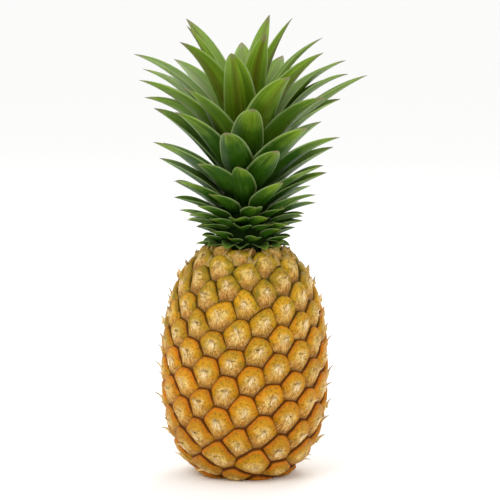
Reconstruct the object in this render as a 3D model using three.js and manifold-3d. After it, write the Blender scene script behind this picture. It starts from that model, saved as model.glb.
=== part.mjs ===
// A whole pineapple, picked and standing on its base, in millimetres with +Z up.
// The origin is the centre of the flat spot under the fruit. The front faces -Y.
// Three pieces grow into each other: the fruit, its leafy crown and the cut end of its stalk.

import * as THREE from "three";
import { ConvexHull } from "three/addons/math/ConvexHull.js";
import { mergeVertices } from "three/addons/utils/BufferGeometryUtils.js";
import Module from "manifold-3d";

const wasm = await Module();
wasm.setup();

const DEGREE = Math.PI / 180;

// Barrel of the fruit: a superellipse of revolution, a little more pointed above its widest place.
const BARREL_RADIUS = 61.2;
const BARREL_WIDEST_Z = 77.4;
const BARREL_DEPTH_BELOW = 83.1;
const BARREL_HEIGHT_ABOVE = 101.4;
const BARREL_POWER_BELOW = 2.42;
const BARREL_POWER_ABOVE = 2.47;
const PROFILE_STEPS = 2400;

// Eyes: one spiral of them climbs the barrel, which makes the 8, 13 and 21 rows that the eye sees.
const EYE_AREA = 410;
const EYE_AREA_TAPER = 0.329;
const EYE_TURN = 137.377 * DEGREE;
const EYE_FIRST_TURN = -29.13 * DEGREE;
const EYE_FIRST_COUNT = 0.896;
const EYE_CORNER_ROUNDING = 0.35;

// Relief of an eye, outward from the barrel, and how far its rings stand from its middle.
const GROOVE_DEPTH = 2.2;
const SHOULDER_REACH = 0.8;
const SHOULDER_HEIGHT = 0.7;
const SHOULDER_TILT = 0.5;
const PIT_REACH = 0.4;
const PIT_HEIGHT = 1.4;
const PIT_TILT = -0.5;

// Bract tips: the thorn over the middle of an eye, longer and more upright near the neck.
const TIP_OUT = 3.9;
const TIP_UP = 2.6;
const NECK_TIP_OUT = 2.6;
const NECK_TIP_UP = 2.4;
const NECK_TIPS_FROM_Z = 150;
const NECK_TIPS_FULL_Z = 168;

// Where the crown and the stalk sit in the fruit, with the gap that parts them from it.
const GAP = 0.3;
const CROWN_SEAT_RADIUS = 24.3;
const CROWN_SEAT_Z = 169.5;
const STALK_RADIUS = 13;
const STALK_LENGTH = 9;
const STALK_TAPER = 1.2;
const ROUND_SIDES = 32;

// Crown: a tapering stem with leaves up it, each one golden-angle turn from the last.
const STEM_TOP_Z = 264;
const STEM_TOP_RADIUS = 6;
const STEM_STEPS = 6;
const LEAF_COUNT = 86;
const LEAF_TURN = 137.5 * DEGREE;
const LEAF_FIRST_TURN = 257.5 * DEGREE;
const LEAF_FIRST_Z = 182;
const LEAF_LAST_Z = 244;
const LEAF_CLIMB_POWER = 1.52;
const LEAF_CLIMB_OVER = [-0.18, 1.08];

// Sizes of a leaf from the lowest place on the stem to the highest, and how its rise and width grow.
const LEAF_LENGTH = [14.6, 122];
const LEAF_LENGTH_POWER = 0.91;
const LEAF_WIDTH = [15, 27];
const LEAF_ARCH = [15 * DEGREE, 46 * DEGREE];
const LEAF_RISE = [8.7 * DEGREE, 40 * DEGREE];
const LEAF_RISE_POWER = 2.55;
const WIDENS_OVER = [0, 0.7];
const ARCHES_OVER = [0.26, 0.89];

// The last leaves, by their share of the count, stand upright in the middle and are smaller.
const TOP_LEAVES_OVER = [0.88, 1];
const TOP_LEAF_NARROWER = 0.8;
const TOP_LEAF_SHORTER = 0.86;
const TOP_LEAF_STRAIGHTER = 0.5;
const TOP_LEAF_STEEPER = 26.5 * DEGREE;

// How one leaf differs from the next.
const LENGTH_VARIES = [0.93, 1.05];
const ARCH_VARIES = [0.5, 1.5];
const TURN_VARIES = [-7 * DEGREE, 7 * DEGREE];
const RISE_VARIES = [-5 * DEGREE, 5 * DEGREE];
const SWAY_VARIES = [-0.05, 0.05];

// Small leaves that spread and droop over the fruit's shoulder at the neck.
const NECK_LEAF_COUNT = 13;
const NECK_LEAF_Z = [175.5, 181];
const NECK_LEAF_LENGTH = [13, 21];
const NECK_LEAF_WIDTH = [12.8, 17.2];
const NECK_LEAF_RISE = [16 * DEGREE, 28 * DEGREE];
const NECK_LEAF_ARCH = [0, 30 * DEGREE];
const NECK_LEAF_KEY = 1000;

// The blade: clasping at its root, widest halfway out, pointed, thicker at its midrib, and channelled.
const LEAF_ROOT_SUNK = 5;
const LEAF_ROOT_WIDTH = 0.36;
const LEAF_FULL_WIDTH_FROM = [0.08, 0.42];
const LEAF_POINT_POWER = 3.1;
const MIDRIB_THICKNESS = 1.7;
const EDGE_THICKNESS = 0.8;
const TIP_THINNING = 0.8;
const LEAF_CHANNEL = 0.2;
const LEAF_BEND_POWER = 1.5;
const SHORT_LEAF_TO = 56;
const SHORT_LEAF_SEGMENTS = 3;
const LONG_LEAF_SEGMENTS = 5;

const lerp = THREE.MathUtils.lerp;
const smoothstep = THREE.MathUtils.smoothstep;

// A repeatable random number from 0 to 1 for a whole-number key.
function seeded(key) {
  const wave = Math.sin(key * 12.9898 + 4.1414) * 43758.5453;
  return wave - Math.floor(wave);
}

// A closed triangle mesh as a solid that can be joined and cut.
function solidFrom(positions, triangles) {
  const geometry = new THREE.BufferGeometry();
  geometry.setAttribute("position", new THREE.Float32BufferAttribute(positions, 3));
  geometry.setIndex(triangles);
  return solidOfGeometry(geometry);
}

function solidOfGeometry(geometry) {
  const bare = geometry.clone();
  bare.deleteAttribute("normal");
  bare.deleteAttribute("uv");
  const merged = mergeVertices(bare, 1e-4);
  return new wasm.Manifold(
    new wasm.Mesh({
      numProp: 3,
      vertProperties: new Float32Array(merged.attributes.position.array),
      triVerts: new Uint32Array(merged.index.array),
    }),
  );
}

// The largest body of a solid, so that no loose scrap of a cut stays.
function largestBody(solid) {
  const bodies = solid.decompose();
  return bodies.reduce((best, body) => (body.volume() > best.volume() ? body : best));
}

function meshOfSolid(name, solid, material) {
  const made = solid.getMesh();
  const geometry = new THREE.BufferGeometry();
  geometry.setAttribute("position", new THREE.BufferAttribute(made.vertProperties, 3));
  geometry.setIndex(new THREE.BufferAttribute(made.triVerts, 1));
  geometry.computeVertexNormals();
  const mesh = new THREE.Mesh(geometry, material);
  mesh.name = name;
  return mesh;
}

// A round solid of revolution about +Z from [radius, z] pairs that start and end on the axis, lowest first.
function turned(profile) {
  const lathe = new THREE.LatheGeometry(
    profile.map(([radius, z]) => new THREE.Vector2(radius, z)),
    ROUND_SIDES,
  );
  return solidOfGeometry(lathe.rotateX(Math.PI / 2));
}

// The barrel's side, from its lower pole to its upper one, with the path length s along it,
// the eyes counted up to each place, and the stretch q that maps it to a ball without bending angles.
function barrelProfile() {
  const profile = [];
  for (let i = 0; i <= PROFILE_STEPS; i++) {
    const angle = lerp(-0.5, 0.5, i / PROFILE_STEPS) * (Math.PI - 1e-4);
    const below = angle < 0;
    const power = 2 / (below ? BARREL_POWER_BELOW : BARREL_POWER_ABOVE);
    const reach = below ? -BARREL_DEPTH_BELOW : BARREL_HEIGHT_ABOVE;
    profile.push({
      r: BARREL_RADIUS * Math.cos(angle) ** power,
      z: BARREL_WIDEST_Z + reach * Math.abs(Math.sin(angle)) ** power,
      s: 0,
      q: 0,
      count: 0,
    });
  }
  for (let i = 1; i < profile.length; i++) {
    const [a, b] = [profile[i - 1], profile[i]];
    const step = Math.hypot(b.r - a.r, b.z - a.z);
    b.s = a.s + step;
    b.q = a.q + (2 * step) / (a.r + b.r);
  }
  const length = profile.at(-1).s;
  const eyesPerStep = (p) =>
    (2 * Math.PI * p.r) / (EYE_AREA * (1 + EYE_AREA_TAPER * (1 - (2 * p.s) / length)));
  for (let i = 1; i < profile.length; i++) {
    const [a, b] = [profile[i - 1], profile[i]];
    b.count = a.count + ((eyesPerStep(a) + eyesPerStep(b)) / 2) * (b.s - a.s);
  }
  const widest = profile.reduce((best, p) => (p.r > best.r ? p : best));
  const middle = widest.q;
  profile.forEach((p) => (p.q -= middle));
  return profile;
}

const PROFILE = barrelProfile();

// The place on the barrel's side where a rising quantity, such as count or q, has a value.
function placeWhere(quantity, value) {
  let low = 0;
  let high = PROFILE.length - 1;
  while (high - low > 1) {
    const half = (low + high) >> 1;
    if (PROFILE[half][quantity] < value) low = half;
    else high = half;
  }
  const [a, b] = [PROFILE[low], PROFILE[high]];
  const share = THREE.MathUtils.clamp(
    (value - a[quantity]) / (b[quantity] - a[quantity]),
    0,
    1,
  );
  return {
    r: lerp(a.r, b.r, share),
    z: lerp(a.z, b.z, share),
    q: lerp(a.q, b.q, share),
    along: new THREE.Vector2(b.r - a.r, b.z - a.z).normalize(),
  };
}

// Turns are measured from the front, -Y, towards +X.
const outFrom = (turn) => new THREE.Vector3(Math.sin(turn), -Math.cos(turn), 0);

// A point of the barrel with its outward normal and its upward direction along the side.
function barrelPoint(place, turn) {
  const out = outFrom(turn);
  const { x, y } = place.along;
  return {
    position: out.clone().multiplyScalar(place.r).setZ(place.z),
    normal: out.clone().multiplyScalar(y).setZ(-x),
    upward: out.clone().multiplyScalar(x).setZ(y),
  };
}

// The same point on a ball, by latitude, where nearest neighbours are easy to find.
function ballPoint(q, turn) {
  const latitude = 2 * Math.atan(Math.exp(q)) - Math.PI / 2;
  return outFrom(turn).multiplyScalar(Math.cos(latitude)).setZ(Math.sin(latitude));
}

function barrelPointAtBall(direction) {
  const latitude = Math.asin(THREE.MathUtils.clamp(direction.z, -1, 1));
  const q = Math.log(Math.tan(latitude / 2 + Math.PI / 4));
  return barrelPoint(placeWhere("q", q), Math.atan2(direction.x, -direction.y));
}

// The middles of all eyes, from the base up.
function eyeMiddles() {
  const total = PROFILE.at(-1).count;
  const eyes = [];
  for (let k = 0; EYE_FIRST_COUNT + k < total; k++) {
    const place = placeWhere("count", EYE_FIRST_COUNT + k);
    const turn = EYE_FIRST_TURN + EYE_TURN * (k + 1);
    eyes.push({ ...barrelPoint(place, turn), onBall: ballPoint(place.q, turn), corners: [] });
  }
  return eyes;
}

// Gives each eye its corners, in the grooves where three eyes meet, in order round it.
function addCorners(eyes) {
  const eyeAt = new Map(eyes.map((eye) => [eye.onBall, eye]));
  const hull = new ConvexHull().setFromPoints([...eyeAt.keys()]);
  for (const face of hull.faces) {
    const points = [];
    let edge = face.edge;
    do {
      points.push(edge.head().point);
      edge = edge.next;
    } while (edge !== face.edge);
    const middle = points.reduce((sum, p) => sum.add(p), new THREE.Vector3()).normalize();
    const corner = face.normal.clone().lerp(middle, EYE_CORNER_ROUNDING).normalize();
    const groove = barrelPointAtBall(corner);
    groove.position.addScaledVector(groove.normal, -GROOVE_DEPTH);
    points.forEach((p) => eyeAt.get(p).corners.push(groove.position));
  }
  for (const eye of eyes) {
    const right = eye.upward.clone().cross(eye.normal);
    const angleOf = (corner) => {
      const offset = corner.clone().sub(eye.position);
      return Math.atan2(offset.dot(eye.upward), offset.dot(right));
    };
    eye.corners.sort((a, b) => angleOf(a) - angleOf(b));
  }
}

// A ring of points in an eye, each on the way from its middle to one corner, and tilted up or down.
function eyeRing(eye, reach, height, tilt) {
  return eye.corners.map((corner) => {
    const offset = corner.clone().sub(eye.position);
    offset.addScaledVector(eye.normal, -offset.dot(eye.normal));
    const upShare = offset.dot(eye.upward) / offset.length();
    const rise = height + tilt * upShare;
    return eye.position.clone().addScaledVector(offset, reach).addScaledVector(eye.normal, rise);
  });
}

// The thorn over the middle of an eye.
function bractTip(eye) {
  const neck = smoothstep(eye.position.z, NECK_TIPS_FROM_Z, NECK_TIPS_FULL_Z);
  return eye.position
    .clone()
    .addScaledVector(eye.normal, lerp(TIP_OUT, NECK_TIP_OUT, neck))
    .addScaledVector(eye.upward, lerp(TIP_UP, NECK_TIP_UP, neck));
}

// The barrel with every eye raised on it: from the groove to a shoulder ring, a pit ring and the tip.
function eyedBarrel(eyes) {
  const positions = [];
  const triangles = [];
  const grooveIndex = new Map();
  const addPoint = (p) => positions.push(p.x, p.y, p.z) / 3 - 1;
  const addGroovePoint = (p) => {
    if (!grooveIndex.has(p)) grooveIndex.set(p, addPoint(p));
    return grooveIndex.get(p);
  };
  for (const eye of eyes) {
    const groove = eye.corners.map(addGroovePoint);
    const shoulder = eyeRing(eye, SHOULDER_REACH, SHOULDER_HEIGHT, SHOULDER_TILT).map(addPoint);
    const pit = eyeRing(eye, PIT_REACH, PIT_HEIGHT, PIT_TILT).map(addPoint);
    const tip = addPoint(bractTip(eye));
    for (let i = 0; i < groove.length; i++) {
      const j = (i + 1) % groove.length;
      triangles.push(groove[i], groove[j], shoulder[j], groove[i], shoulder[j], shoulder[i]);
      triangles.push(shoulder[i], shoulder[j], pit[j], shoulder[i], pit[j], pit[i]);
      triangles.push(pit[i], pit[j], tip);
    }
  }
  return solidFrom(positions, triangles);
}

// The fruit: its underside cut flat where it stands, with a seat for the crown and one for the stalk.
function fruitSolid() {
  const eyes = eyeMiddles();
  addCorners(eyes);
  const side = 3 * BARREL_RADIUS;
  const floor = solidOfGeometry(new THREE.BoxGeometry(side, side, side).translate(0, 0, -side / 2));
  const stalkSeat = turned([
    [0, -1],
    [STALK_RADIUS + GAP, -1],
    [STALK_RADIUS + GAP, STALK_LENGTH + GAP],
    [0, STALK_LENGTH + GAP],
  ]);
  const crownSeat = turned([
    [0, CROWN_SEAT_Z],
    [CROWN_SEAT_RADIUS, CROWN_SEAT_Z],
    [CROWN_SEAT_RADIUS, CROWN_SEAT_Z + BARREL_RADIUS],
    [0, CROWN_SEAT_Z + BARREL_RADIUS],
  ]);
  return largestBody(eyedBarrel(eyes).subtract(floor).subtract(stalkSeat).subtract(crownSeat));
}

// The cut end of the stalk, flush with the flat spot that the fruit stands on.
function stalkSolid() {
  return turned([
    [0, 0],
    [STALK_RADIUS, 0],
    [STALK_RADIUS - STALK_TAPER, STALK_LENGTH],
    [0, STALK_LENGTH],
  ]);
}

// Radius of the crown's stem at a height, from its seat to its top.
function stemRadius(z) {
  const share = (z - CROWN_SEAT_Z) / (STEM_TOP_Z - CROWN_SEAT_Z);
  return lerp(CROWN_SEAT_RADIUS - GAP, STEM_TOP_RADIUS, share);
}

function stemSolid() {
  const bottom = CROWN_SEAT_Z + GAP;
  const profile = [[0, bottom]];
  for (let i = 0; i <= STEM_STEPS; i++) {
    const z = lerp(bottom, STEM_TOP_Z, i / STEM_STEPS);
    profile.push([stemRadius(z), z]);
  }
  profile.push([0, STEM_TOP_Z]);
  return turned(profile);
}

// A size between two ends, drawn for a leaf's key. The salt tells its draws apart.
const drawn = (ends, key, salt) => lerp(...ends, seeded(key * 7 + salt));

// The sizes of one leaf: short and spreading low on the stem, long and arching above, upright on top.
function leafSizes(i) {
  const share = i / (LEAF_COUNT - 1);
  const height = smoothstep(share ** LEAF_CLIMB_POWER, ...LEAF_CLIMB_OVER);
  const top = smoothstep(share, ...TOP_LEAVES_OVER);
  const rootZ = lerp(LEAF_FIRST_Z, LEAF_LAST_Z, height);
  const length = lerp(...LEAF_LENGTH, height ** LEAF_LENGTH_POWER);
  const width = lerp(...LEAF_WIDTH, smoothstep(height, ...WIDENS_OVER));
  const rise = lerp(...LEAF_RISE, 1 - (1 - height) ** LEAF_RISE_POWER);
  const arch = lerp(...LEAF_ARCH, smoothstep(height, ...ARCHES_OVER));
  return {
    turn: LEAF_FIRST_TURN + LEAF_TURN * i + drawn(TURN_VARIES, i, 4),
    rootZ,
    rootRadius: stemRadius(rootZ) - LEAF_ROOT_SUNK,
    length: length * drawn(LENGTH_VARIES, i, 1) * lerp(1, TOP_LEAF_SHORTER, top) + LEAF_ROOT_SUNK,
    width: width * lerp(1, TOP_LEAF_NARROWER, top),
    rise: rise + TOP_LEAF_STEEPER * top + drawn(RISE_VARIES, i, 5),
    arch: arch * drawn(ARCH_VARIES, i, 2) * lerp(1, TOP_LEAF_STRAIGHTER, top),
    sway: drawn(SWAY_VARIES, i, 3),
  };
}

// The sizes of one neck leaf, small and level or drooping.
function neckLeafSizes(i) {
  const key = NECK_LEAF_KEY + i;
  const rootZ = lerp(...NECK_LEAF_Z, i / NECK_LEAF_COUNT);
  return {
    turn: LEAF_FIRST_TURN - LEAF_TURN * (i + 1),
    rootZ,
    rootRadius: stemRadius(rootZ) - LEAF_ROOT_SUNK,
    length: drawn(NECK_LEAF_LENGTH, key, 1) + LEAF_ROOT_SUNK,
    width: drawn(NECK_LEAF_WIDTH, key, 2),
    rise: drawn(NECK_LEAF_RISE, key, 3),
    arch: drawn(NECK_LEAF_ARCH, key, 4),
    sway: drawn(SWAY_VARIES, key, 5),
  };
}

function leafHalfWidth(width, share) {
  const clasp = lerp(LEAF_ROOT_WIDTH, 1, smoothstep(share, ...LEAF_FULL_WIDTH_FROM));
  return (width / 2) * clasp * (1 - share ** LEAF_POINT_POWER);
}

// One channelled leaf as a closed blade, split into triangles alike above and below.
function leafSolid(leaf) {
  const out = outFrom(leaf.turn);
  const aside = new THREE.Vector3(Math.cos(leaf.turn), Math.sin(leaf.turn), 0);
  const climbAt = (share) => leaf.rise + leaf.arch * (0.5 - share ** LEAF_BEND_POWER);
  const swayAt = (share) => leaf.sway * leaf.length * share ** 2;
  const segments = leaf.length < SHORT_LEAF_TO ? SHORT_LEAF_SEGMENTS : LONG_LEAF_SEGMENTS;
  const positions = [];
  const triangles = [];
  const walk = out.clone().multiplyScalar(leaf.rootRadius).setZ(leaf.rootZ);
  for (let i = 0; i < segments; i++) {
    const share = i / segments;
    const climb = climbAt(share);
    const above = out.clone().multiplyScalar(-Math.sin(climb)).setZ(Math.cos(climb));
    const half = leafHalfWidth(leaf.width, share);
    const lift = 2 * half * LEAF_CHANNEL;
    const section = [[half, lift, EDGE_THICKNESS], [0, 0, MIDRIB_THICKNESS], [-half, lift, EDGE_THICKNESS]];
    const thinning = lerp(1, TIP_THINNING, share);
    for (const face of [0.5, -0.5]) {
      for (const [sideways, up, thickness] of section) {
        const p = walk.clone().addScaledVector(aside, sideways + swayAt(share));
        p.addScaledVector(above, up + face * thickness * thinning);
        positions.push(...p);
      }
    }
    const onward = climbAt((i + 0.5) / segments);
    const ahead = out.clone().multiplyScalar(Math.cos(onward)).setZ(Math.sin(onward));
    walk.addScaledVector(ahead, leaf.length / segments);
  }
  walk.addScaledVector(aside, swayAt(1));
  positions.push(...walk);
  const tip = positions.length / 3 - 1;
  // A section holds left, middle and right above, then the same below.
  const round = [0, 1, 2, 5, 4, 3];
  for (let i = 0; i < segments - 1; i++) {
    const [a, b] = [6 * i, 6 * i + 6];
    for (const [p, q] of [[0, 1], [5, 4]]) triangles.push(a + p, b + q, b + p, a + p, a + q, b + q);
    for (const [p, q] of [[1, 2], [4, 3]]) triangles.push(a + p, a + q, b + p, a + q, b + q, b + p);
    for (const [p, q] of [[2, 5], [3, 0]]) triangles.push(a + p, a + q, b + q, a + p, b + q, b + p);
  }
  const last = 6 * (segments - 1);
  round.forEach((p, i) => triangles.push(last + p, last + round[(i + 1) % 6], tip));
  triangles.push(0, 4, 1, 0, 3, 4, 1, 5, 2, 1, 4, 5);
  return solidFrom(positions, triangles);
}

// The crown: every leaf joined to the stem that it grows from.
function crownSolid() {
  let crown = stemSolid();
  for (let i = 0; i < LEAF_COUNT; i++) crown = crown.add(leafSolid(leafSizes(i)));
  for (let i = 0; i < NECK_LEAF_COUNT; i++) crown = crown.add(leafSolid(neckLeafSizes(i)));
  return largestBody(crown);
}

const rind = new THREE.MeshStandardMaterial({ color: 0xc98a2b, roughness: 0.5, metalness: 0 });
const leafGreen = new THREE.MeshStandardMaterial({ color: 0x4f7a1c, roughness: 0.45, metalness: 0 });
const stalkBrown = new THREE.MeshStandardMaterial({ color: 0xb39a6b, roughness: 0.8, metalness: 0 });

const pineapple = new THREE.Group();
pineapple.add(meshOfSolid("fruit", fruitSolid(), rind));
pineapple.add(meshOfSolid("crown", crownSolid(), leafGreen));
pineapple.add(meshOfSolid("stalk", stalkSolid(), stalkBrown));

export default pineapple;
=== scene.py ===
"""A ripe pineapple standing on its base, dressed around its packed construction model.

The rind with its eyes, the leafy crown and the cut end of the stalk take the places of the plain
solids, and the dry thorns and threads of the bracts are added. Everything is in metres, with +Z up
and the front at -Y.
"""

import logging
import math
from dataclasses import dataclass, field
from enum import Enum
from typing import Any

import bmesh
import bpy
import numpy as np
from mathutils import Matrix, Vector


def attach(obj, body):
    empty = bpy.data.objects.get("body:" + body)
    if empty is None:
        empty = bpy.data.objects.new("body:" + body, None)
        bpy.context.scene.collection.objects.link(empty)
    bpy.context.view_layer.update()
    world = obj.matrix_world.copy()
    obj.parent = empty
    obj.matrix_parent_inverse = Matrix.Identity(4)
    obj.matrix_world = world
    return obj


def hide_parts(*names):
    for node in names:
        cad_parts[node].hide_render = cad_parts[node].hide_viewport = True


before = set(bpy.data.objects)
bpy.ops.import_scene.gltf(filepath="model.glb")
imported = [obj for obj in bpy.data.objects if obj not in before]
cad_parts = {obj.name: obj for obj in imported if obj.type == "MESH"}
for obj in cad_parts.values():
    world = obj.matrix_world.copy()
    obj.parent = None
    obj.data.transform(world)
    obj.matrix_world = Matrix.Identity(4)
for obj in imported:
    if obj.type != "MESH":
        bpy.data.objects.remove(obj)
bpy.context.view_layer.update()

LOG = logging.getLogger("pineapple")
MM = 0.001
DEGREE = math.pi / 180
BODY = "root"


def linear(hex_colour: str) -> tuple[float, float, float, float]:
    """Turns an sRGB colour into the linear one that shaders take.

    Args:
        hex_colour: Six hex digits, such as "c98a2b".

    Returns:
        Linear red, green and blue with an alpha of 1.
    """
    shares = [int(hex_colour[i:i + 2], 16) / 255 for i in (0, 2, 4)]
    red, green, blue = (c / 12.92 if c <= 0.04045 else ((c + 0.055) / 1.055) ** 2.4 for c in shares)
    return red, green, blue, 1.0


def seeded(key: float) -> float:
    """Gives a repeatable random number from 0 to 1.

    Args:
        key: Any number. The same key always gives the same result.

    Returns:
        The random number.
    """
    wave = math.sin(key * 12.9898 + 4.1414) * 43758.5453
    return wave - math.floor(wave)


def draws(key: int, count: int) -> list[float]:
    """Gives repeatable random numbers from 0 to 1.

    Args:
        key: The number that they follow from. Keys at least count apart share none.
        count: How many.

    Returns:
        The random numbers.
    """
    return [seeded(key + salt) for salt in range(count)]


def between(ends: tuple[float, float], share: Any) -> Any:
    """Goes evenly from one end to the other.

    Args:
        ends: The results at 0 and at 1.
        share: A number or an array.

    Returns:
        The result, of the same kind as share.
    """
    return ends[0] + (ends[1] - ends[0]) * share


def smoothstep(values: Any, low: float, high: float) -> Any:
    """Goes smoothly from 0 at low to 1 at high.

    Args:
        values: A number or an array.
        low: Where the result leaves 0.
        high: Where it reaches 1.

    Returns:
        The share, of the same kind as values.
    """
    share = np.clip((values - low) / (high - low), 0, 1)
    return share * share * (3 - 2 * share)


def add(tree: bpy.types.NodeTree, kind: str, settings: dict | None = None,
        inputs: dict | None = None) -> bpy.types.Node:
    """Adds a node to a tree with its settings and its input values or links.

    Args:
        tree: The tree that gets the node.
        kind: The node's type name.
        settings: Properties of the node by name.
        inputs: Values, sockets or nodes by input name or index. A node stands for its first output.

    Returns:
        The new node.
    """
    node = tree.nodes.new(kind)
    for name, value in (settings or {}).items():
        setattr(node, name, value)
    for key, value in (inputs or {}).items():
        usable = [s for s in node.inputs if s.enabled and s.name == key]
        socket = usable[0] if usable else node.inputs[key]
        if isinstance(value, bpy.types.Node):
            value = next(s for s in value.outputs if s.enabled)
        if isinstance(value, bpy.types.NodeSocket):
            tree.links.new(value, socket)
        else:
            socket.default_value = value
    return node


def set_ramp(node: bpy.types.Node, stops: list[tuple[float, str]]) -> bpy.types.Node:
    """Sets the colours of a Color Ramp node.

    Args:
        node: The Color Ramp node.
        stops: Places from 0 to 1, each with its hex colour.

    Returns:
        The same node.
    """
    elements = node.color_ramp.elements
    while len(elements) < len(stops):
        elements.new(1)
    for element, (place, colour) in zip(elements, stops):
        element.position = place
        element.color = linear(colour)
    return node


def new_material(name: str) -> tuple[bpy.types.Material, bpy.types.NodeTree, bpy.types.Node]:
    """Starts a node material.

    Args:
        name: The finish's name.

    Returns:
        The material, its node tree and its Principled BSDF node.
    """
    material = bpy.data.materials.new(name)
    material.use_nodes = True
    tree = material.node_tree
    return material, tree, tree.nodes["Principled BSDF"]


def mesh_object(name: str, vertices: np.ndarray, faces: list, smooth: bool = True) -> bpy.types.Object:
    """Makes a mesh object at the origin.

    Args:
        name: The object's name.
        vertices: Points in metres, one row each.
        faces: Vertex indices of each face, anticlockwise seen from outside.
        smooth: Whether its faces are shaded smooth.

    Returns:
        The new object, linked to the scene.
    """
    mesh = bpy.data.meshes.new(name)
    mesh.from_pydata([tuple(v) for v in vertices], [], faces)
    mesh.polygons.foreach_set("use_smooth", [smooth] * len(mesh.polygons))
    mesh.update()
    made = bpy.data.objects.new(name, mesh)
    bpy.context.scene.collection.objects.link(made)
    return made


def add_attribute(mesh: bpy.types.Mesh, name: str, kind: str, domain: str, values: np.ndarray) -> None:
    """Stores numbers on a mesh for its material or its nodes to read.

    Args:
        mesh: The mesh.
        name: The attribute's name.
        kind: FLOAT or FLOAT_VECTOR.
        domain: POINT or CORNER.
        values: One number or one row of three for each element.
    """
    attribute = mesh.attributes.new(name, kind, domain)
    key = "vector" if kind == "FLOAT_VECTOR" else "value"
    attribute.data.foreach_set(key, np.asarray(values, dtype=np.float32).ravel())


def turned(name: str, profile: list[tuple[float, float]], sides: int) -> bpy.types.Object:
    """Turns a profile about +Z into a closed mesh.

    Args:
        name: The object's name.
        profile: Radius and height pairs from the axis round to the axis, lowest first.
        sides: How many faces go round.

    Returns:
        The turned object.
    """
    turns = np.arange(sides) * 2 * math.pi / sides
    points, faces = [(0.0, 0.0, profile[0][1])], []
    for radius, z in profile[1:-1]:
        points += [(radius * math.cos(a), radius * math.sin(a), z) for a in turns]
    points.append((0.0, 0.0, profile[-1][1]))
    last = len(points) - 1
    rings = len(profile) - 2
    for i in range(sides):
        j = (i + 1) % sides
        faces.append([0, 1 + j, 1 + i])
        for k in range(rings - 1):
            a, b = 1 + k * sides, 1 + (k + 1) * sides
            faces.append([a + i, a + j, b + j, b + i])
        top = 1 + (rings - 1) * sides
        faces.append([top + i, top + j, last])
    return mesh_object(name, np.array(points), faces)


class Slot(Enum):
    """The record's material slots."""

    RIND = "rind"
    LEAF = "leaf"
    STALK_END = "stalk_end"


def place_piece(piece: bpy.types.Object, slot: Slot, *nodes: str) -> None:
    """Puts a finished piece on the fruit's body and logs it.

    Args:
        piece: The finished object.
        slot: The record's slot. It is not used.
        *nodes: The construction nodes that it stands for.
    """
    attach(piece, BODY)
    if nodes:
        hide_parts(*nodes)
    LOG.info("%s: %d faces", piece.name, len(piece.data.polygons))


def bake_nodes(piece: bpy.types.Object, tree: bpy.types.NodeTree, sizes: dict[str, Any]) -> bpy.types.Object:
    """Runs a geometry node tree on an object and keeps the result as its plain mesh.

    Args:
        piece: The object that the tree starts from.
        tree: The tree.
        sizes: Values of the tree's inputs, by name.

    Returns:
        The same object with its new mesh and no modifier.
    """
    modifier = piece.modifiers.new("rule", "NODES")
    modifier.node_group = tree
    for item in tree.interface.items_tree:
        if item.in_out == "INPUT" and item.name in sizes:
            modifier[item.identifier] = sizes[item.name]
    bpy.context.view_layer.update()
    evaluated = piece.evaluated_get(bpy.context.evaluated_depsgraph_get())
    mesh = bpy.data.meshes.new_from_object(evaluated)
    piece.modifiers.remove(modifier)
    old = piece.data
    piece.data = mesh
    mesh.name = piece.name
    bpy.data.meshes.remove(old)
    return piece


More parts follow.
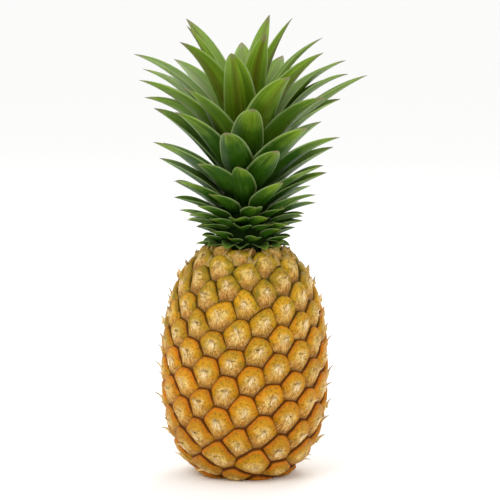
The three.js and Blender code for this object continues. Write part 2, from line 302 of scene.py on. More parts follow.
@dataclass(frozen=True)
class Barrel:
    """The body under the eyes: a superellipse turned about +Z, and its one spiral of eyes.

    Turns are measured from the front, -Y, towards +X.
    """

    radius: float = 61.2 * MM
    widest_z: float = 77.4 * MM
    depth_below: float = 83.1 * MM
    height_above: float = 101.4 * MM
    power_below: float = 2.42
    power_above: float = 2.47
    steps: int = 2400
    eye_area: float = 410 * MM * MM
    area_taper: float = 0.329
    eye_turn: float = 137.377 * DEGREE
    first_turn: float = -29.13 * DEGREE
    first_count: float = 0.896
    corner_rounding: float = 0.35
    side: dict[str, np.ndarray] = field(default_factory=dict)

    def __post_init__(self) -> None:
        """Works out the side's radius r, height z, path s, ball stretch q and eye count."""
        angle = np.linspace(-0.5, 0.5, self.steps + 1) * (math.pi - 1e-4)
        below = angle < 0
        power = np.where(below, 2 / self.power_below, 2 / self.power_above)
        reach = np.where(below, -self.depth_below, self.height_above)
        r = self.radius * np.cos(angle) ** power
        z = self.widest_z + reach * np.abs(np.sin(angle)) ** power
        step = np.hypot(np.diff(r), np.diff(z))
        s = np.concatenate([[0], np.cumsum(step)])
        q = np.concatenate([[0], np.cumsum(2 * step / (r[:-1] + r[1:]))])
        q -= q[np.argmax(r)]
        scale = np.sqrt(1 + self.area_taper * (1 - 2 * s / s[-1]))
        density = 2 * math.pi * r / (self.eye_area * scale ** 2)
        count = np.concatenate([[0], np.cumsum((density[:-1] + density[1:]) / 2 * step)])
        tangent = np.stack([np.gradient(r, s), np.gradient(z, s)])
        tangent /= np.linalg.norm(tangent, axis=0)
        self.side.update(r=r, z=z, s=s, q=q, count=count, scale=scale, tr=tangent[0], tz=tangent[1])

    def where(self, quantity: str, values: np.ndarray) -> dict[str, np.ndarray]:
        """Finds the places on the side where a rising quantity has these values.

        Args:
            quantity: The name of the rising quantity, such as "count" or "q".
            values: Its values.

        Returns:
            Every quantity of the side at those places.
        """
        rising = self.side[quantity]
        return {name: np.interp(values, rising, track) for name, track in self.side.items()}

    def points(self, place: dict[str, np.ndarray], turn: np.ndarray) -> dict[str, np.ndarray]:
        """Gives points of the barrel with their directions.

        Args:
            place: Quantities of the side, as where gives them.
            turn: The turn of each point.

        Returns:
            Rows "position", "normal" (outward), "upward" (along the side) and "right", and the
            "scale" of an eye there.
        """
        out = np.stack([np.sin(turn), -np.cos(turn), np.zeros_like(turn)], axis=-1)
        up = np.array([0.0, 0.0, 1.0])
        column = {name: track[..., None] for name, track in place.items()}
        normal = out * column["tz"] - up * column["tr"]
        upward = out * column["tr"] + up * column["tz"]
        return {
            "position": out * column["r"] + up * column["z"],
            "normal": normal,
            "upward": upward,
            "right": np.cross(upward, normal),
            "scale": place["scale"],
        }

    def on_ball(self, q: np.ndarray, turn: np.ndarray) -> np.ndarray:
        """Maps places to a ball, where nearest neighbours are easy to find.

        Args:
            q: The ball stretch of each place.
            turn: Its turn.

        Returns:
            Unit vectors, one row each.
        """
        latitude = 2 * np.arctan(np.exp(q)) - math.pi / 2
        flat = np.cos(latitude)
        return np.stack([flat * np.sin(turn), -flat * np.cos(turn), np.sin(latitude)], axis=-1)

    def from_ball(self, ball: np.ndarray) -> dict[str, np.ndarray]:
        """Maps unit vectors back to points of the barrel.

        Args:
            ball: Unit vectors, one row each.

        Returns:
            What points gives.
        """
        latitude = np.arcsin(np.clip(ball[..., 2], -1, 1))
        q = np.log(np.tan(np.clip(latitude / 2 + math.pi / 4, 1e-6, math.pi / 2 - 1e-6)))
        return self.points(self.where("q", q), np.arctan2(ball[..., 0], -ball[..., 1]))


@dataclass
class Eye:
    """One eye: its middle, its directions, and its corners by number, in order round it."""

    ball: np.ndarray
    position: np.ndarray
    normal: np.ndarray
    upward: np.ndarray
    right: np.ndarray
    scale: float
    corners: list[int] = field(default_factory=list)

    def local(self, points: np.ndarray) -> np.ndarray:
        """Turns points into right, up and out of this eye's middle, in metres.

        Args:
            points: Points, one row each.

        Returns:
            Rows of right, up and out.
        """
        offset = points - self.position
        return np.stack([offset @ self.right, offset @ self.upward, offset @ self.normal], axis=-1)


@dataclass
class EyeLattice:
    """All eyes of the barrel, and the groove corners where three of them meet."""

    barrel: Barrel
    corner_drift: float = 0.022
    eyes: list[Eye] = field(default_factory=list)
    corner_balls: np.ndarray | None = None

    def __post_init__(self) -> None:
        """Places the eyes on their spiral and finds their corners."""
        total = self.barrel.side["count"][-1]
        numbers = np.arange(math.ceil(total - self.barrel.first_count))
        place = self.barrel.where("count", self.barrel.first_count + numbers)
        turn = self.barrel.first_turn + self.barrel.eye_turn * (numbers + 1)
        points = self.barrel.points(place, turn)
        balls = self.barrel.on_ball(place["q"], turn)
        for i in numbers:
            self.eyes.append(Eye(
                balls[i], points["position"][i], points["normal"][i], points["upward"][i],
                points["right"][i], float(points["scale"][i])))
        self.find_corners(balls)

    def find_corners(self, balls: np.ndarray) -> None:
        """Gives each eye the corners where it meets two others.

        Args:
            balls: The eyes' middles on the ball.
        """
        hull = bmesh.new()
        for i, ball in enumerate(balls):
            hull.verts.new(ball).index = i
        bmesh.ops.convex_hull(hull, input=hull.verts)
        bmesh.ops.triangulate(hull, faces=hull.faces)
        triples = [[v.index for v in face.verts] for face in hull.faces]
        hull.free()
        a, b, c = (balls[[t[k] for t in triples]] for k in range(3))
        facing = np.cross(b - a, c - a)
        facing /= np.linalg.norm(facing, axis=1)[:, None]
        facing *= np.sign(np.sum(facing * a, axis=1))[:, None]
        middle = a + b + c
        middle /= np.linalg.norm(middle, axis=1)[:, None]
        corners = facing + (middle - facing) * self.barrel.corner_rounding
        drift = np.array([[seeded(i * 5 + k) - 0.5 for k in range(3)] for i in range(len(corners))])
        corners += drift * self.corner_drift * 2
        self.corner_balls = corners / np.linalg.norm(corners, axis=1)[:, None]
        positions = self.barrel.from_ball(self.corner_balls)["position"]
        for number, triple in enumerate(triples):
            for i in triple:
                self.eyes[i].corners.append(number)
        for eye in self.eyes:
            flat = eye.local(positions[eye.corners])
            order = np.argsort(np.arctan2(flat[:, 1], flat[:, 0]))
            eye.corners = [eye.corners[k] for k in order]


@dataclass(frozen=True)
class RindFinish:
    """Ripe pineapple rind: a waxy golden skin on the upper half of each eye, orange at its rim and
    pale in its heart, over a dry, papery, fibrous bract base below. The grooves are thin and rusty,
    olive near the neck.
    """

    low_gold: str = "b4820a"
    ripe_orange: str = "d08a06"
    gold: str = "d0940c"
    pale_yellow: str = "c29a1c"
    neck_olive: str = "a1861a"
    green_tint: str = "77741a"
    heart: str = "d8a02a"
    rim_orange: str = "c86604"
    rim_olive: str = "9a7a14"
    groove: str = "4f2603"
    neck_groove: str = "403a06"
    papery: str = "b47a2e"
    papery_dark: str = "69401a"
    papery_pale: str = "dfb066"
    cream: str = "f2d88c"
    junction_shade: str = "85562a"
    speck_and_slit_shadow: str = "2e1a08"
    shade: str = "74500a"
    waxy: float = 0.46
    dull: float = 0.75
    mottle_size: float = 7 * MM
    blotch_size: float = 1.9 * MM
    pore_size: float = 0.8 * MM

    def material(self) -> bpy.types.Material:
        """Builds the rind material. It reads each eye's own place and traits, in mm.

        Returns:
            The material.
        """
        material, tree, shader = new_material("ripe_pineapple_rind")
        place = add(tree, "ShaderNodeAttribute", {"attribute_name": "eye_place"})
        u, v, inward = add(tree, "ShaderNodeSeparateXYZ", {}, {0: place.outputs["Vector"]}).outputs
        traits = add(tree, "ShaderNodeAttribute", {"attribute_name": "eye_traits"})
        luck, height, bare = add(tree, "ShaderNodeSeparateXYZ", {}, {0: traits.outputs["Vector"]}).outputs
        where = add(tree, "ShaderNodeTexCoord").outputs["Object"]
        mottle = add(tree, "ShaderNodeTexNoise", {},
                     {"Vector": where, "Scale": 1 / self.mottle_size, "Detail": 5.0, "Roughness": 0.6})
        blotch = add(tree, "ShaderNodeTexNoise", {},
                     {"Vector": where, "Scale": 1 / self.blotch_size, "Detail": 4.0, "Roughness": 0.65})
        pores = add(tree, "ShaderNodeTexNoise", {},
                    {"Vector": where, "Scale": 1 / self.pore_size, "Detail": 3.0, "Roughness": 0.55})

        # Riper and more orange below, paler and greener towards the neck, a little different on each eye.
        ripeness = add(tree, "ShaderNodeMath", {"operation": "MULTIPLY_ADD"}, {0: mottle, 1: 0.5, 2: height})
        ripeness = add(tree, "ShaderNodeMath", {"operation": "MULTIPLY_ADD"}, {0: luck, 1: 0.3, 2: ripeness})
        ripeness = add(tree, "ShaderNodeMath", {"operation": "SUBTRACT"}, {0: ripeness, 1: 0.4})
        skin = set_ramp(add(tree, "ShaderNodeValToRGB", {}, {0: ripeness}), [
            (0.04, self.low_gold), (0.32, self.ripe_orange), (0.58, self.gold), (0.8, self.pale_yellow),
            (0.98, self.neck_olive)])
        upper = add(tree, "ShaderNodeMapRange", {}, {"Value": v, "From Min": -3.0, "From Max": 2.5})
        neck = add(tree, "ShaderNodeMapRange", {}, {"Value": height, "From Min": 0.5, "From Max": 0.9})
        heart = add(tree, "ShaderNodeMapRange", {"interpolation_type": "SMOOTHSTEP"},
                    {"Value": inward, "From Min": 2.6, "From Max": 7.0, "To Max": 0.7})
        skin = add(tree, "ShaderNodeMix", {"data_type": "RGBA"},
                   {"Factor": heart, "A": skin, "B": linear(self.heart)})
        near_rim = add(tree, "ShaderNodeMapRange", {"interpolation_type": "SMOOTHSTEP"},
                       {"Value": inward, "From Min": 3.4, "From Max": 0.8, "To Max": 0.7})
        rim = add(tree, "ShaderNodeMath", {"operation": "MULTIPLY"}, {0: upper, 1: near_rim})
        rim_colour = add(tree, "ShaderNodeMix", {"data_type": "RGBA"},
                         {"Factor": neck, "A": linear(self.rim_orange), "B": linear(self.rim_olive)})
        skin = add(tree, "ShaderNodeMix", {"data_type": "RGBA"}, {"Factor": rim, "A": skin, "B": rim_colour})
        green = add(tree, "ShaderNodeMapRange", {}, {"Value": mottle, "From Min": 0.5, "From Max": 0.62})
        greener = add(tree, "ShaderNodeMapRange", {},
                      {"Value": height, "From Min": 0.3, "From Max": 0.85, "To Min": 0.3, "To Max": 1.0})
        green = add(tree, "ShaderNodeMath", {"operation": "MULTIPLY"}, {0: green, 1: greener})
        green = add(tree, "ShaderNodeMath", {"operation": "MULTIPLY"}, {0: green, 1: 0.65})
        skin = add(tree, "ShaderNodeMix", {"data_type": "RGBA"},
                   {"Factor": green, "A": skin, "B": linear(self.green_tint)})

        # Some eyes are duller than others, as on a fruit that ripened unevenly.
        dull = add(tree, "ShaderNodeMath", {"operation": "MULTIPLY"}, {0: luck, 1: 0.35})
        skin = add(tree, "ShaderNodeMix", {"data_type": "RGBA"},
                   {"Factor": dull, "A": skin, "B": linear(self.shade)})

        # Fibres fan out downwards from a point a little above the eye's middle.
        from_fan = add(tree, "ShaderNodeMath", {"operation": "SUBTRACT"}, {0: 4.0, 1: v})
        fan = add(tree, "ShaderNodeMath", {"operation": "ARCTAN2"}, {0: u, 1: from_fan})
        along = add(tree, "ShaderNodeMath", {"operation": "MULTIPLY"}, {0: v, 1: 0.14})
        across = add(tree, "ShaderNodeMath", {"operation": "MULTIPLY"}, {0: fan, 1: 13.0})
        apart = add(tree, "ShaderNodeMath", {"operation": "MULTIPLY"}, {0: luck, 1: 57.0})
        fan_place = add(tree, "ShaderNodeCombineXYZ", {}, {0: across, 1: along, 2: apart})
        fibres = add(tree, "ShaderNodeTexNoise", {},
                     {"Vector": fan_place, "Scale": 1.3, "Detail": 4.0, "Roughness": 0.7})
        papery = set_ramp(add(tree, "ShaderNodeValToRGB", {}, {0: fibres}), [
            (0.31, self.papery_dark), (0.43, self.papery), (0.58, self.papery_pale), (0.76, self.cream)])

        # The bract base covers the lower part, with a torn edge that differs on each eye.
        torn = add(tree, "ShaderNodeTexNoise", {},
                   {"Vector": add(tree, "ShaderNodeCombineXYZ", {}, {0: u, 1: apart, 2: v}),
                    "Scale": 0.5, "Detail": 4.0, "Roughness": 0.65})
        edge = add(tree, "ShaderNodeMath", {"operation": "MULTIPLY_ADD"}, {0: torn, 1: 11.0, 2: v})
        aside = add(tree, "ShaderNodeMath", {"operation": "ABSOLUTE"}, {0: u})
        edge = add(tree, "ShaderNodeMath", {"operation": "MULTIPLY_ADD"}, {0: aside, 1: 0.5, 2: edge})
        lower = add(tree, "ShaderNodeMapRange", {"interpolation_type": "SMOOTHSTEP"},
                    {"Value": edge, "From Min": 7.6, "From Max": 3.2})
        lower_share = add(tree, "ShaderNodeMath", {"operation": "MULTIPLY"}, {0: lower, 1: bare})
        skin = add(tree, "ShaderNodeMix", {"data_type": "RGBA"},
                   {"Factor": lower_share, "A": skin, "B": papery})

        # Towards the eyes below, the bract base is darkened with painted shade.
        low = add(tree, "ShaderNodeMath", {"operation": "MULTIPLY_ADD"}, {0: torn, 1: 5.0, 2: v})
        low = add(tree, "ShaderNodeMapRange", {"interpolation_type": "SMOOTHSTEP"},
                  {"Value": low, "From Min": -4.5, "From Max": -8.5, "To Max": 0.6})
        skin = add(tree, "ShaderNodeMix", {"data_type": "RGBA"},
                   {"Factor": low, "A": skin, "B": linear(self.junction_shade)})

        # Pale dry tissue frays out from the middle, where the bract's thorn stands.
        ray = add(tree, "ShaderNodeMapRange", {}, {"Value": fibres, "From Min": 0.44, "From Max": 0.66})
        fray = add(tree, "ShaderNodeMath", {"operation": "MULTIPLY_ADD"}, {0: torn, 1: 5.0, 2: inward})
        fray = add(tree, "ShaderNodeMapRange", {"interpolation_type": "SMOOTHSTEP"},
                   {"Value": fray, "From Min": 6.2, "From Max": 9.4})
        below_top = add(tree, "ShaderNodeMapRange", {"interpolation_type": "SMOOTHSTEP"},
                        {"Value": v, "From Min": 5.5, "From Max": 2.0})
        fray = add(tree, "ShaderNodeMath", {"operation": "MULTIPLY"}, {0: fray, 1: below_top})
        ray = add(tree, "ShaderNodeMath", {"operation": "MULTIPLY_ADD"}, {0: ray, 1: 0.65, 2: 0.3})
        fray = add(tree, "ShaderNodeMath", {"operation": "MULTIPLY"}, {0: fray, 1: ray})
        skin = add(tree, "ShaderNodeMix", {"data_type": "RGBA"},
                   {"Factor": fray, "A": skin, "B": linear(self.cream)})

        # A torn slit parts the waxy dome from the bract, with painted shadow along it, more on some eyes than
        # on others.
        slit_place = add(tree, "ShaderNodeMath", {"operation": "MULTIPLY_ADD"}, {0: torn, 1: 6.0, 2: v})
        slit_place = add(tree, "ShaderNodeMath", {"operation": "ADD"}, {0: slit_place, 1: -4.2})
        slit_place = add(tree, "ShaderNodeMath", {"operation": "ABSOLUTE"}, {0: slit_place})
        slit = add(tree, "ShaderNodeMapRange", {"interpolation_type": "SMOOTHSTEP"},
                   {"Value": slit_place, "From Min": 0.6, "From Max": 0.1})
        slit_end = add(tree, "ShaderNodeMapRange", {"interpolation_type": "SMOOTHSTEP"},
                       {"Value": aside, "From Min": 5.0, "From Max": 1.5})
        slit = add(tree, "ShaderNodeMath", {"operation": "MULTIPLY"}, {0: slit, 1: slit_end})
        slit = add(tree, "ShaderNodeMath", {"operation": "MULTIPLY"}, {0: slit, 1: luck})
        skin = add(tree, "ShaderNodeMix", {"data_type": "RGBA"},
                   {"Factor": slit, "A": skin, "B": linear(self.speck_and_slit_shadow)})

        # Brown blotches, and dark specks left by the dried flower.
        blotches = add(tree, "ShaderNodeMapRange", {},
                       {"Value": blotch, "From Min": 0.48, "From Max": 0.68, "To Max": 0.85})
        skin = add(tree, "ShaderNodeMix", {"data_type": "RGBA"},
                   {"Factor": blotches, "A": skin, "B": linear(self.shade)})
        specks = add(tree, "ShaderNodeMapRange", {"interpolation_type": "SMOOTHSTEP"},
                     {"Value": blotch, "From Min": 0.38, "From Max": 0.3})
        middle = add(tree, "ShaderNodeMapRange", {},
                     {"Value": inward, "From Min": 3.5, "From Max": 6.5, "To Max": 0.8})
        specks = add(tree, "ShaderNodeMath", {"operation": "MULTIPLY"}, {0: specks, 1: middle})
        skin = add(tree, "ShaderNodeMix", {"data_type": "RGBA"},
                   {"Factor": specks, "A": skin, "B": linear(self.speck_and_slit_shadow)})

        # The groove shows as a crisp rusty arc over each dome, and fades out under the bract base above it.
        deep = add(tree, "ShaderNodeMath", {"operation": "MULTIPLY_ADD"}, {0: mottle, 1: -0.8, 2: inward})
        deep = add(tree, "ShaderNodeMath", {"operation": "MULTIPLY_ADD"}, {0: upper, 1: -0.3, 2: deep})
        deep = add(tree, "ShaderNodeMapRange", {"interpolation_type": "SMOOTHSTEP"},
                   {"Value": deep, "From Min": 0.0, "From Max": -0.45, "To Max": 0.92})
        over_dome = add(tree, "ShaderNodeMapRange", {},
                        {"Value": v, "From Min": -6.0, "From Max": 0.0, "To Min": 0.3})
        deep = add(tree, "ShaderNodeMath", {"operation": "MULTIPLY"}, {0: deep, 1: over_dome})
        groove = add(tree, "ShaderNodeMix", {"data_type": "RGBA"},
                     {"Factor": neck, "A": linear(self.groove), "B": linear(self.neck_groove)})
        skin = add(tree, "ShaderNodeMix", {"data_type": "RGBA"}, {"Factor": deep, "A": skin, "B": groove})
        tree.links.new(skin.outputs[2], shader.inputs["Base Color"])

        rough = add(tree, "ShaderNodeMapRange", {},
                    {"Value": lower_share, "To Min": self.waxy, "To Max": self.dull})
        rough = add(tree, "ShaderNodeMath", {"operation": "MULTIPLY_ADD"}, {0: deep, 1: 0.25, 2: rough})
        tree.links.new(rough.outputs[0], shader.inputs["Roughness"])
        fibre_height = add(tree, "ShaderNodeMath", {"operation": "MULTIPLY"}, {0: fibres, 1: lower_share})
        grain = add(tree, "ShaderNodeMath", {"operation": "MULTIPLY_ADD"},
                    {0: pores, 1: 0.25, 2: fibre_height})
        grain = add(tree, "ShaderNodeMath", {"operation": "MULTIPLY_ADD"}, {0: blotch, 1: 0.35, 2: grain})
        bump = add(tree, "ShaderNodeBump", {}, {"Height": grain, "Strength": 0.9, "Distance": 1.1 * MM})
        tree.links.new(bump.outputs[0], shader.inputs["Normal"])
        shader.inputs["IOR"].default_value = 1.4
        shader.inputs["Specular IOR Level"].default_value = 0.18
        shader.inputs["Subsurface Weight"].default_value = 0.08
        shader.inputs["Subsurface Radius"].default_value = (3 * MM, 1.6 * MM, 0.6 * MM)
        shader.inputs["Subsurface Scale"].default_value = 1.0
        return material


@dataclass
class Rind:
    """The rind: one closed skin of domed eyes, from its flat spot to the crown's seat."""

    lattice: EyeLattice
    finish: RindFinish = field(default_factory=RindFinish)
    edge_steps: int = 6
    ring_depths: tuple[float, ...] = (0, 0.04, 0.09, 0.15, 0.22, 0.3, 0.39, 0.49, 0.6, 0.71, 0.82, 0.92)
    groove_depth: float = 1.5 * MM
    dome_height: float = 1.5 * MM
    upper_shoulder: float = 2.3 * MM
    lower_shoulder: float = 6.8 * MM
    corner_softness: float = 1.3 * MM
    shoulder_power: float = 2.2
    fold_height: float = 0.24 * MM
    folds_a_radian: float = 17
    slit_depth: float = 0.8 * MM
    pit_depth: float = 1.3 * MM
    keel_height: float = 0.7 * MM
    fullness: float = 0.45 * MM
    bulge: tuple[float, float] = (0.35 * MM, 0.65 * MM)
    bract_cover: tuple[float, float] = (0.55, 1.0)
    stalk_hole: float = 14.0 * MM
    stalk_hole_top: float = 5 * MM
    crown_seat: float = 24.6 * MM
    crown_seat_z: float = 169.1 * MM
    top_z: float = 179 * MM

    def groove_points(self) -> tuple[np.ndarray, dict[tuple[int, int], list[int]]]:
        """Lists the shared points of all grooves on the ball: the corners, then the points between.

        Returns:
            The points, and for each pair of corners the numbers of the points between them.
        """
        balls = list(self.lattice.corner_balls)
        links: dict[tuple[int, int], list[int]] = {}
        for eye in self.lattice.eyes:
            for a, b in zip(eye.corners, eye.corners[1:] + eye.corners[:1]):
                key = (min(a, b), max(a, b))
                if key in links:
                    continue
                links[key] = []
                for k in range(1, self.edge_steps):
                    share = k / self.edge_steps
                    ball = balls[key[0]] * (1 - share) + balls[key[1]] * share
                    links[key].append(len(balls))
                    balls.append(ball / np.linalg.norm(ball))
        return np.array(balls), links

    def edge_distance(self, flat: np.ndarray, corners: np.ndarray) -> np.ndarray:
        """Measures how far points lie inside an eye, with its corners rounded off.

        Args:
            flat: Right and up of the points, one row each.
            corners: Right and up of the eye's corners, in order round it.

        Returns:
            Distances in metres, 0 in the groove.
        """
        ahead = np.roll(corners, -1, axis=0) - corners
        inward = np.stack([-ahead[:, 1], ahead[:, 0]], axis=1) / np.linalg.norm(ahead, axis=1)[:, None]
        distances = np.einsum("pcx,cx->pc", flat[:, None] - corners[None], inward)
        soft = np.exp(-distances / self.corner_softness)
        return np.maximum(-self.corner_softness * np.log(soft.sum(axis=1)), 0)

    def relief(self, flat: np.ndarray, inward: np.ndarray, scale: float, number: int) -> np.ndarray:
        """Gives the height of an eye's surface over the barrel.

        Args:
            flat: Right and up of the points, one row each, in metres.
            inward: Their distances from the groove.
            scale: The eye's size over the middle one's.
            number: The eye's number, which varies it.

        Returns:
            Heights in metres.
        """
        u, v = flat[:, 0] / scale / MM, flat[:, 1] / scale / MM

        # The shoulder is steep over the dome and long under it, where the bract base runs down.
        up = smoothstep(v, -5, 4)
        climb = np.clip(inward / (between((self.lower_shoulder, self.upper_shoulder), up) * scale), 0, 1)
        dome = (1 - (1 - climb) ** self.shoulder_power) ** (1 - 0.4 * up)
        height = between((-self.groove_depth, self.dome_height), dome)

        # Below a torn slit across the middle, the bract base is folded like a fan and keeled.
        phase = 6.28 * seeded(number + 0.5)
        fan = np.arctan2(u, 5 - v)
        wave = 0.5 * np.sin(2.1 * u + phase) + 0.3 * np.sin(4.3 * u - phase)
        lower = smoothstep(v + 0.25 * np.abs(u) - wave, 0.6, -0.8)
        folds = self.fold_height * np.sin(self.folds_a_radian * fan + phase) * lower * climb
        slit = -self.slit_depth * np.exp(-(u / 3.4) ** 2 - ((v - 1.2 - 0.4 * wave) / 0.75) ** 2)
        pit = -self.pit_depth * np.exp(-((u - 0.6 * wave) / 0.8) ** 2 - ((v - 1.6) / 0.7) ** 2)
        ends = smoothstep(v, -8, -1) * smoothstep(v, 2.2, 0.0)
        keel = self.keel_height * np.exp(-(u / 1.2) ** 2) * ends

        # The dome above it is fuller, and each eye bulges off its middle in its own way.
        upper = self.fullness * smoothstep(v, -1, 4) * dome
        lift = between(self.bulge, seeded(number))
        bulge = lift * np.exp(-((u - 2.4 * wave) ** 2 + (v - 1.6 * np.sin(phase)) ** 2) / 46)
        return height + (folds + (slit + pit + keel) * climb + upper + bulge * dome) * scale

    def build(self) -> bpy.types.Object:
        """Builds the rind's mesh with each eye's place and traits on it.

        Returns:
            The rind.
        """
        barrel = self.lattice.barrel
        balls, links = self.groove_points()
        groove = barrel.from_ball(balls)
        depth = self.groove_depth * groove["scale"][:, None]
        vertices = [groove["position"] - groove["normal"] * depth]
        faces, places, traits = [], [], []
        total = len(balls)
        for number, eye in enumerate(self.lattice.eyes):
            ring = self.ring_numbers(eye, links)
            shares = 1 - np.array(self.ring_depths[1:])
            inner = eye.ball * (1 - shares[:, None, None]) + balls[ring][None] * shares[:, None, None]
            inner = np.concatenate([inner.reshape(-1, 3), eye.ball[None]])
            inner /= np.linalg.norm(inner, axis=1)[:, None]
            surface = barrel.from_ball(inner)
            corners = eye.local(groove["position"][eye.corners])[:, :2]
            flat = eye.local(surface["position"])[:, :2]
            inward = self.edge_distance(flat, corners)
            height = self.relief(flat, inward, eye.scale, number)
            vertices.append(surface["position"] + surface["normal"] * height[:, None])
            sides = len(ring)
            numbers = np.concatenate([ring, total + np.arange(len(inner))])
            eye_faces = self.fan_faces(sides)
            outer = eye.local(groove["position"][ring])[:, :2]
            place = np.column_stack([
                np.concatenate([outer, flat]) / eye.scale,
                np.concatenate([np.zeros(sides), inward]) / eye.scale]) / MM
            trait = (seeded(number * 3 + 1), eye.position[2] / self.top_z,
                     between(self.bract_cover, seeded(number * 3 + 2)))
            for face in eye_faces:
                faces.append(numbers[face].tolist())
                places.append(place[face])
                traits.append(np.tile(trait, (len(face), 1)))
            total += len(inner)
        points = self.cut_ends(np.concatenate(vertices))
        rind = mesh_object("rind", points, faces)
        add_attribute(rind.data, "eye_place", "FLOAT_VECTOR", "CORNER", np.concatenate(places))
        add_attribute(rind.data, "eye_traits", "FLOAT_VECTOR", "CORNER", np.concatenate(traits))
        rind.data.materials.append(self.finish.material())
        return rind

    def ring_numbers(self, eye: Eye, links: dict[tuple[int, int], list[int]]) -> np.ndarray:
        """Lists the groove points round an eye, in order.

        Args:
            eye: The eye.
            links: The points between each pair of corners, from the lower-numbered corner.

        Returns:
            Their numbers.
        """
        ring = []
        for a, b in zip(eye.corners, eye.corners[1:] + eye.corners[:1]):
            middle = links[(min(a, b), max(a, b))]
            ring += [a] + (middle if a < b else middle[::-1])
        return np.array(ring)

    def fan_faces(self, sides: int) -> list[list[int]]:
        """Lists an eye's faces, from its groove ring in to its middle.

        Args:
            sides: How many points a ring has.

        Returns:
            Point indices of each face, counted from the groove ring.
        """
        rings = len(self.ring_depths)
        middle = rings * sides
        faces = []
        for i in range(sides):
            j = (i + 1) % sides
            for k in range(rings - 1):
                a, b = k * sides, (k + 1) * sides
                faces.append([a + i, a + j, b + j, b + i])
            last = (rings - 1) * sides
            faces.append([last + i, last + j, middle])
        return faces

    def cut_ends(self, points: np.ndarray) -> np.ndarray:
        """Flattens the spot that the fruit stands on and sinks the seats of stalk and crown.

        Args:
            points: The rind's points.

        Returns:
            The points after the cuts.
        """
        x, y, z = points.T
        radius = np.hypot(x, y)
        floor = np.where(radius < self.stalk_hole, self.stalk_hole_top, 0)
        low = z < self.top_z / 2
        z = np.where(low, np.maximum(z, floor), z)
        seat = (radius < self.crown_seat) & ~low
        z = np.where(seat, np.minimum(z, self.crown_seat_z), z)
        return np.column_stack([x, y, z])

    def dress(self) -> None:
        """Builds the rind and puts it in the fruit's place."""
        place_piece(self.build(), Slot.RIND, "fruit")


@dataclass(frozen=True)
class Midrib:
    """The middle line of a blade, from its root to its point, with the sizes of the blade on the way."""

    points: np.ndarray
    half_widths: np.ndarray
    leans: np.ndarray
    traits: tuple[float, float]


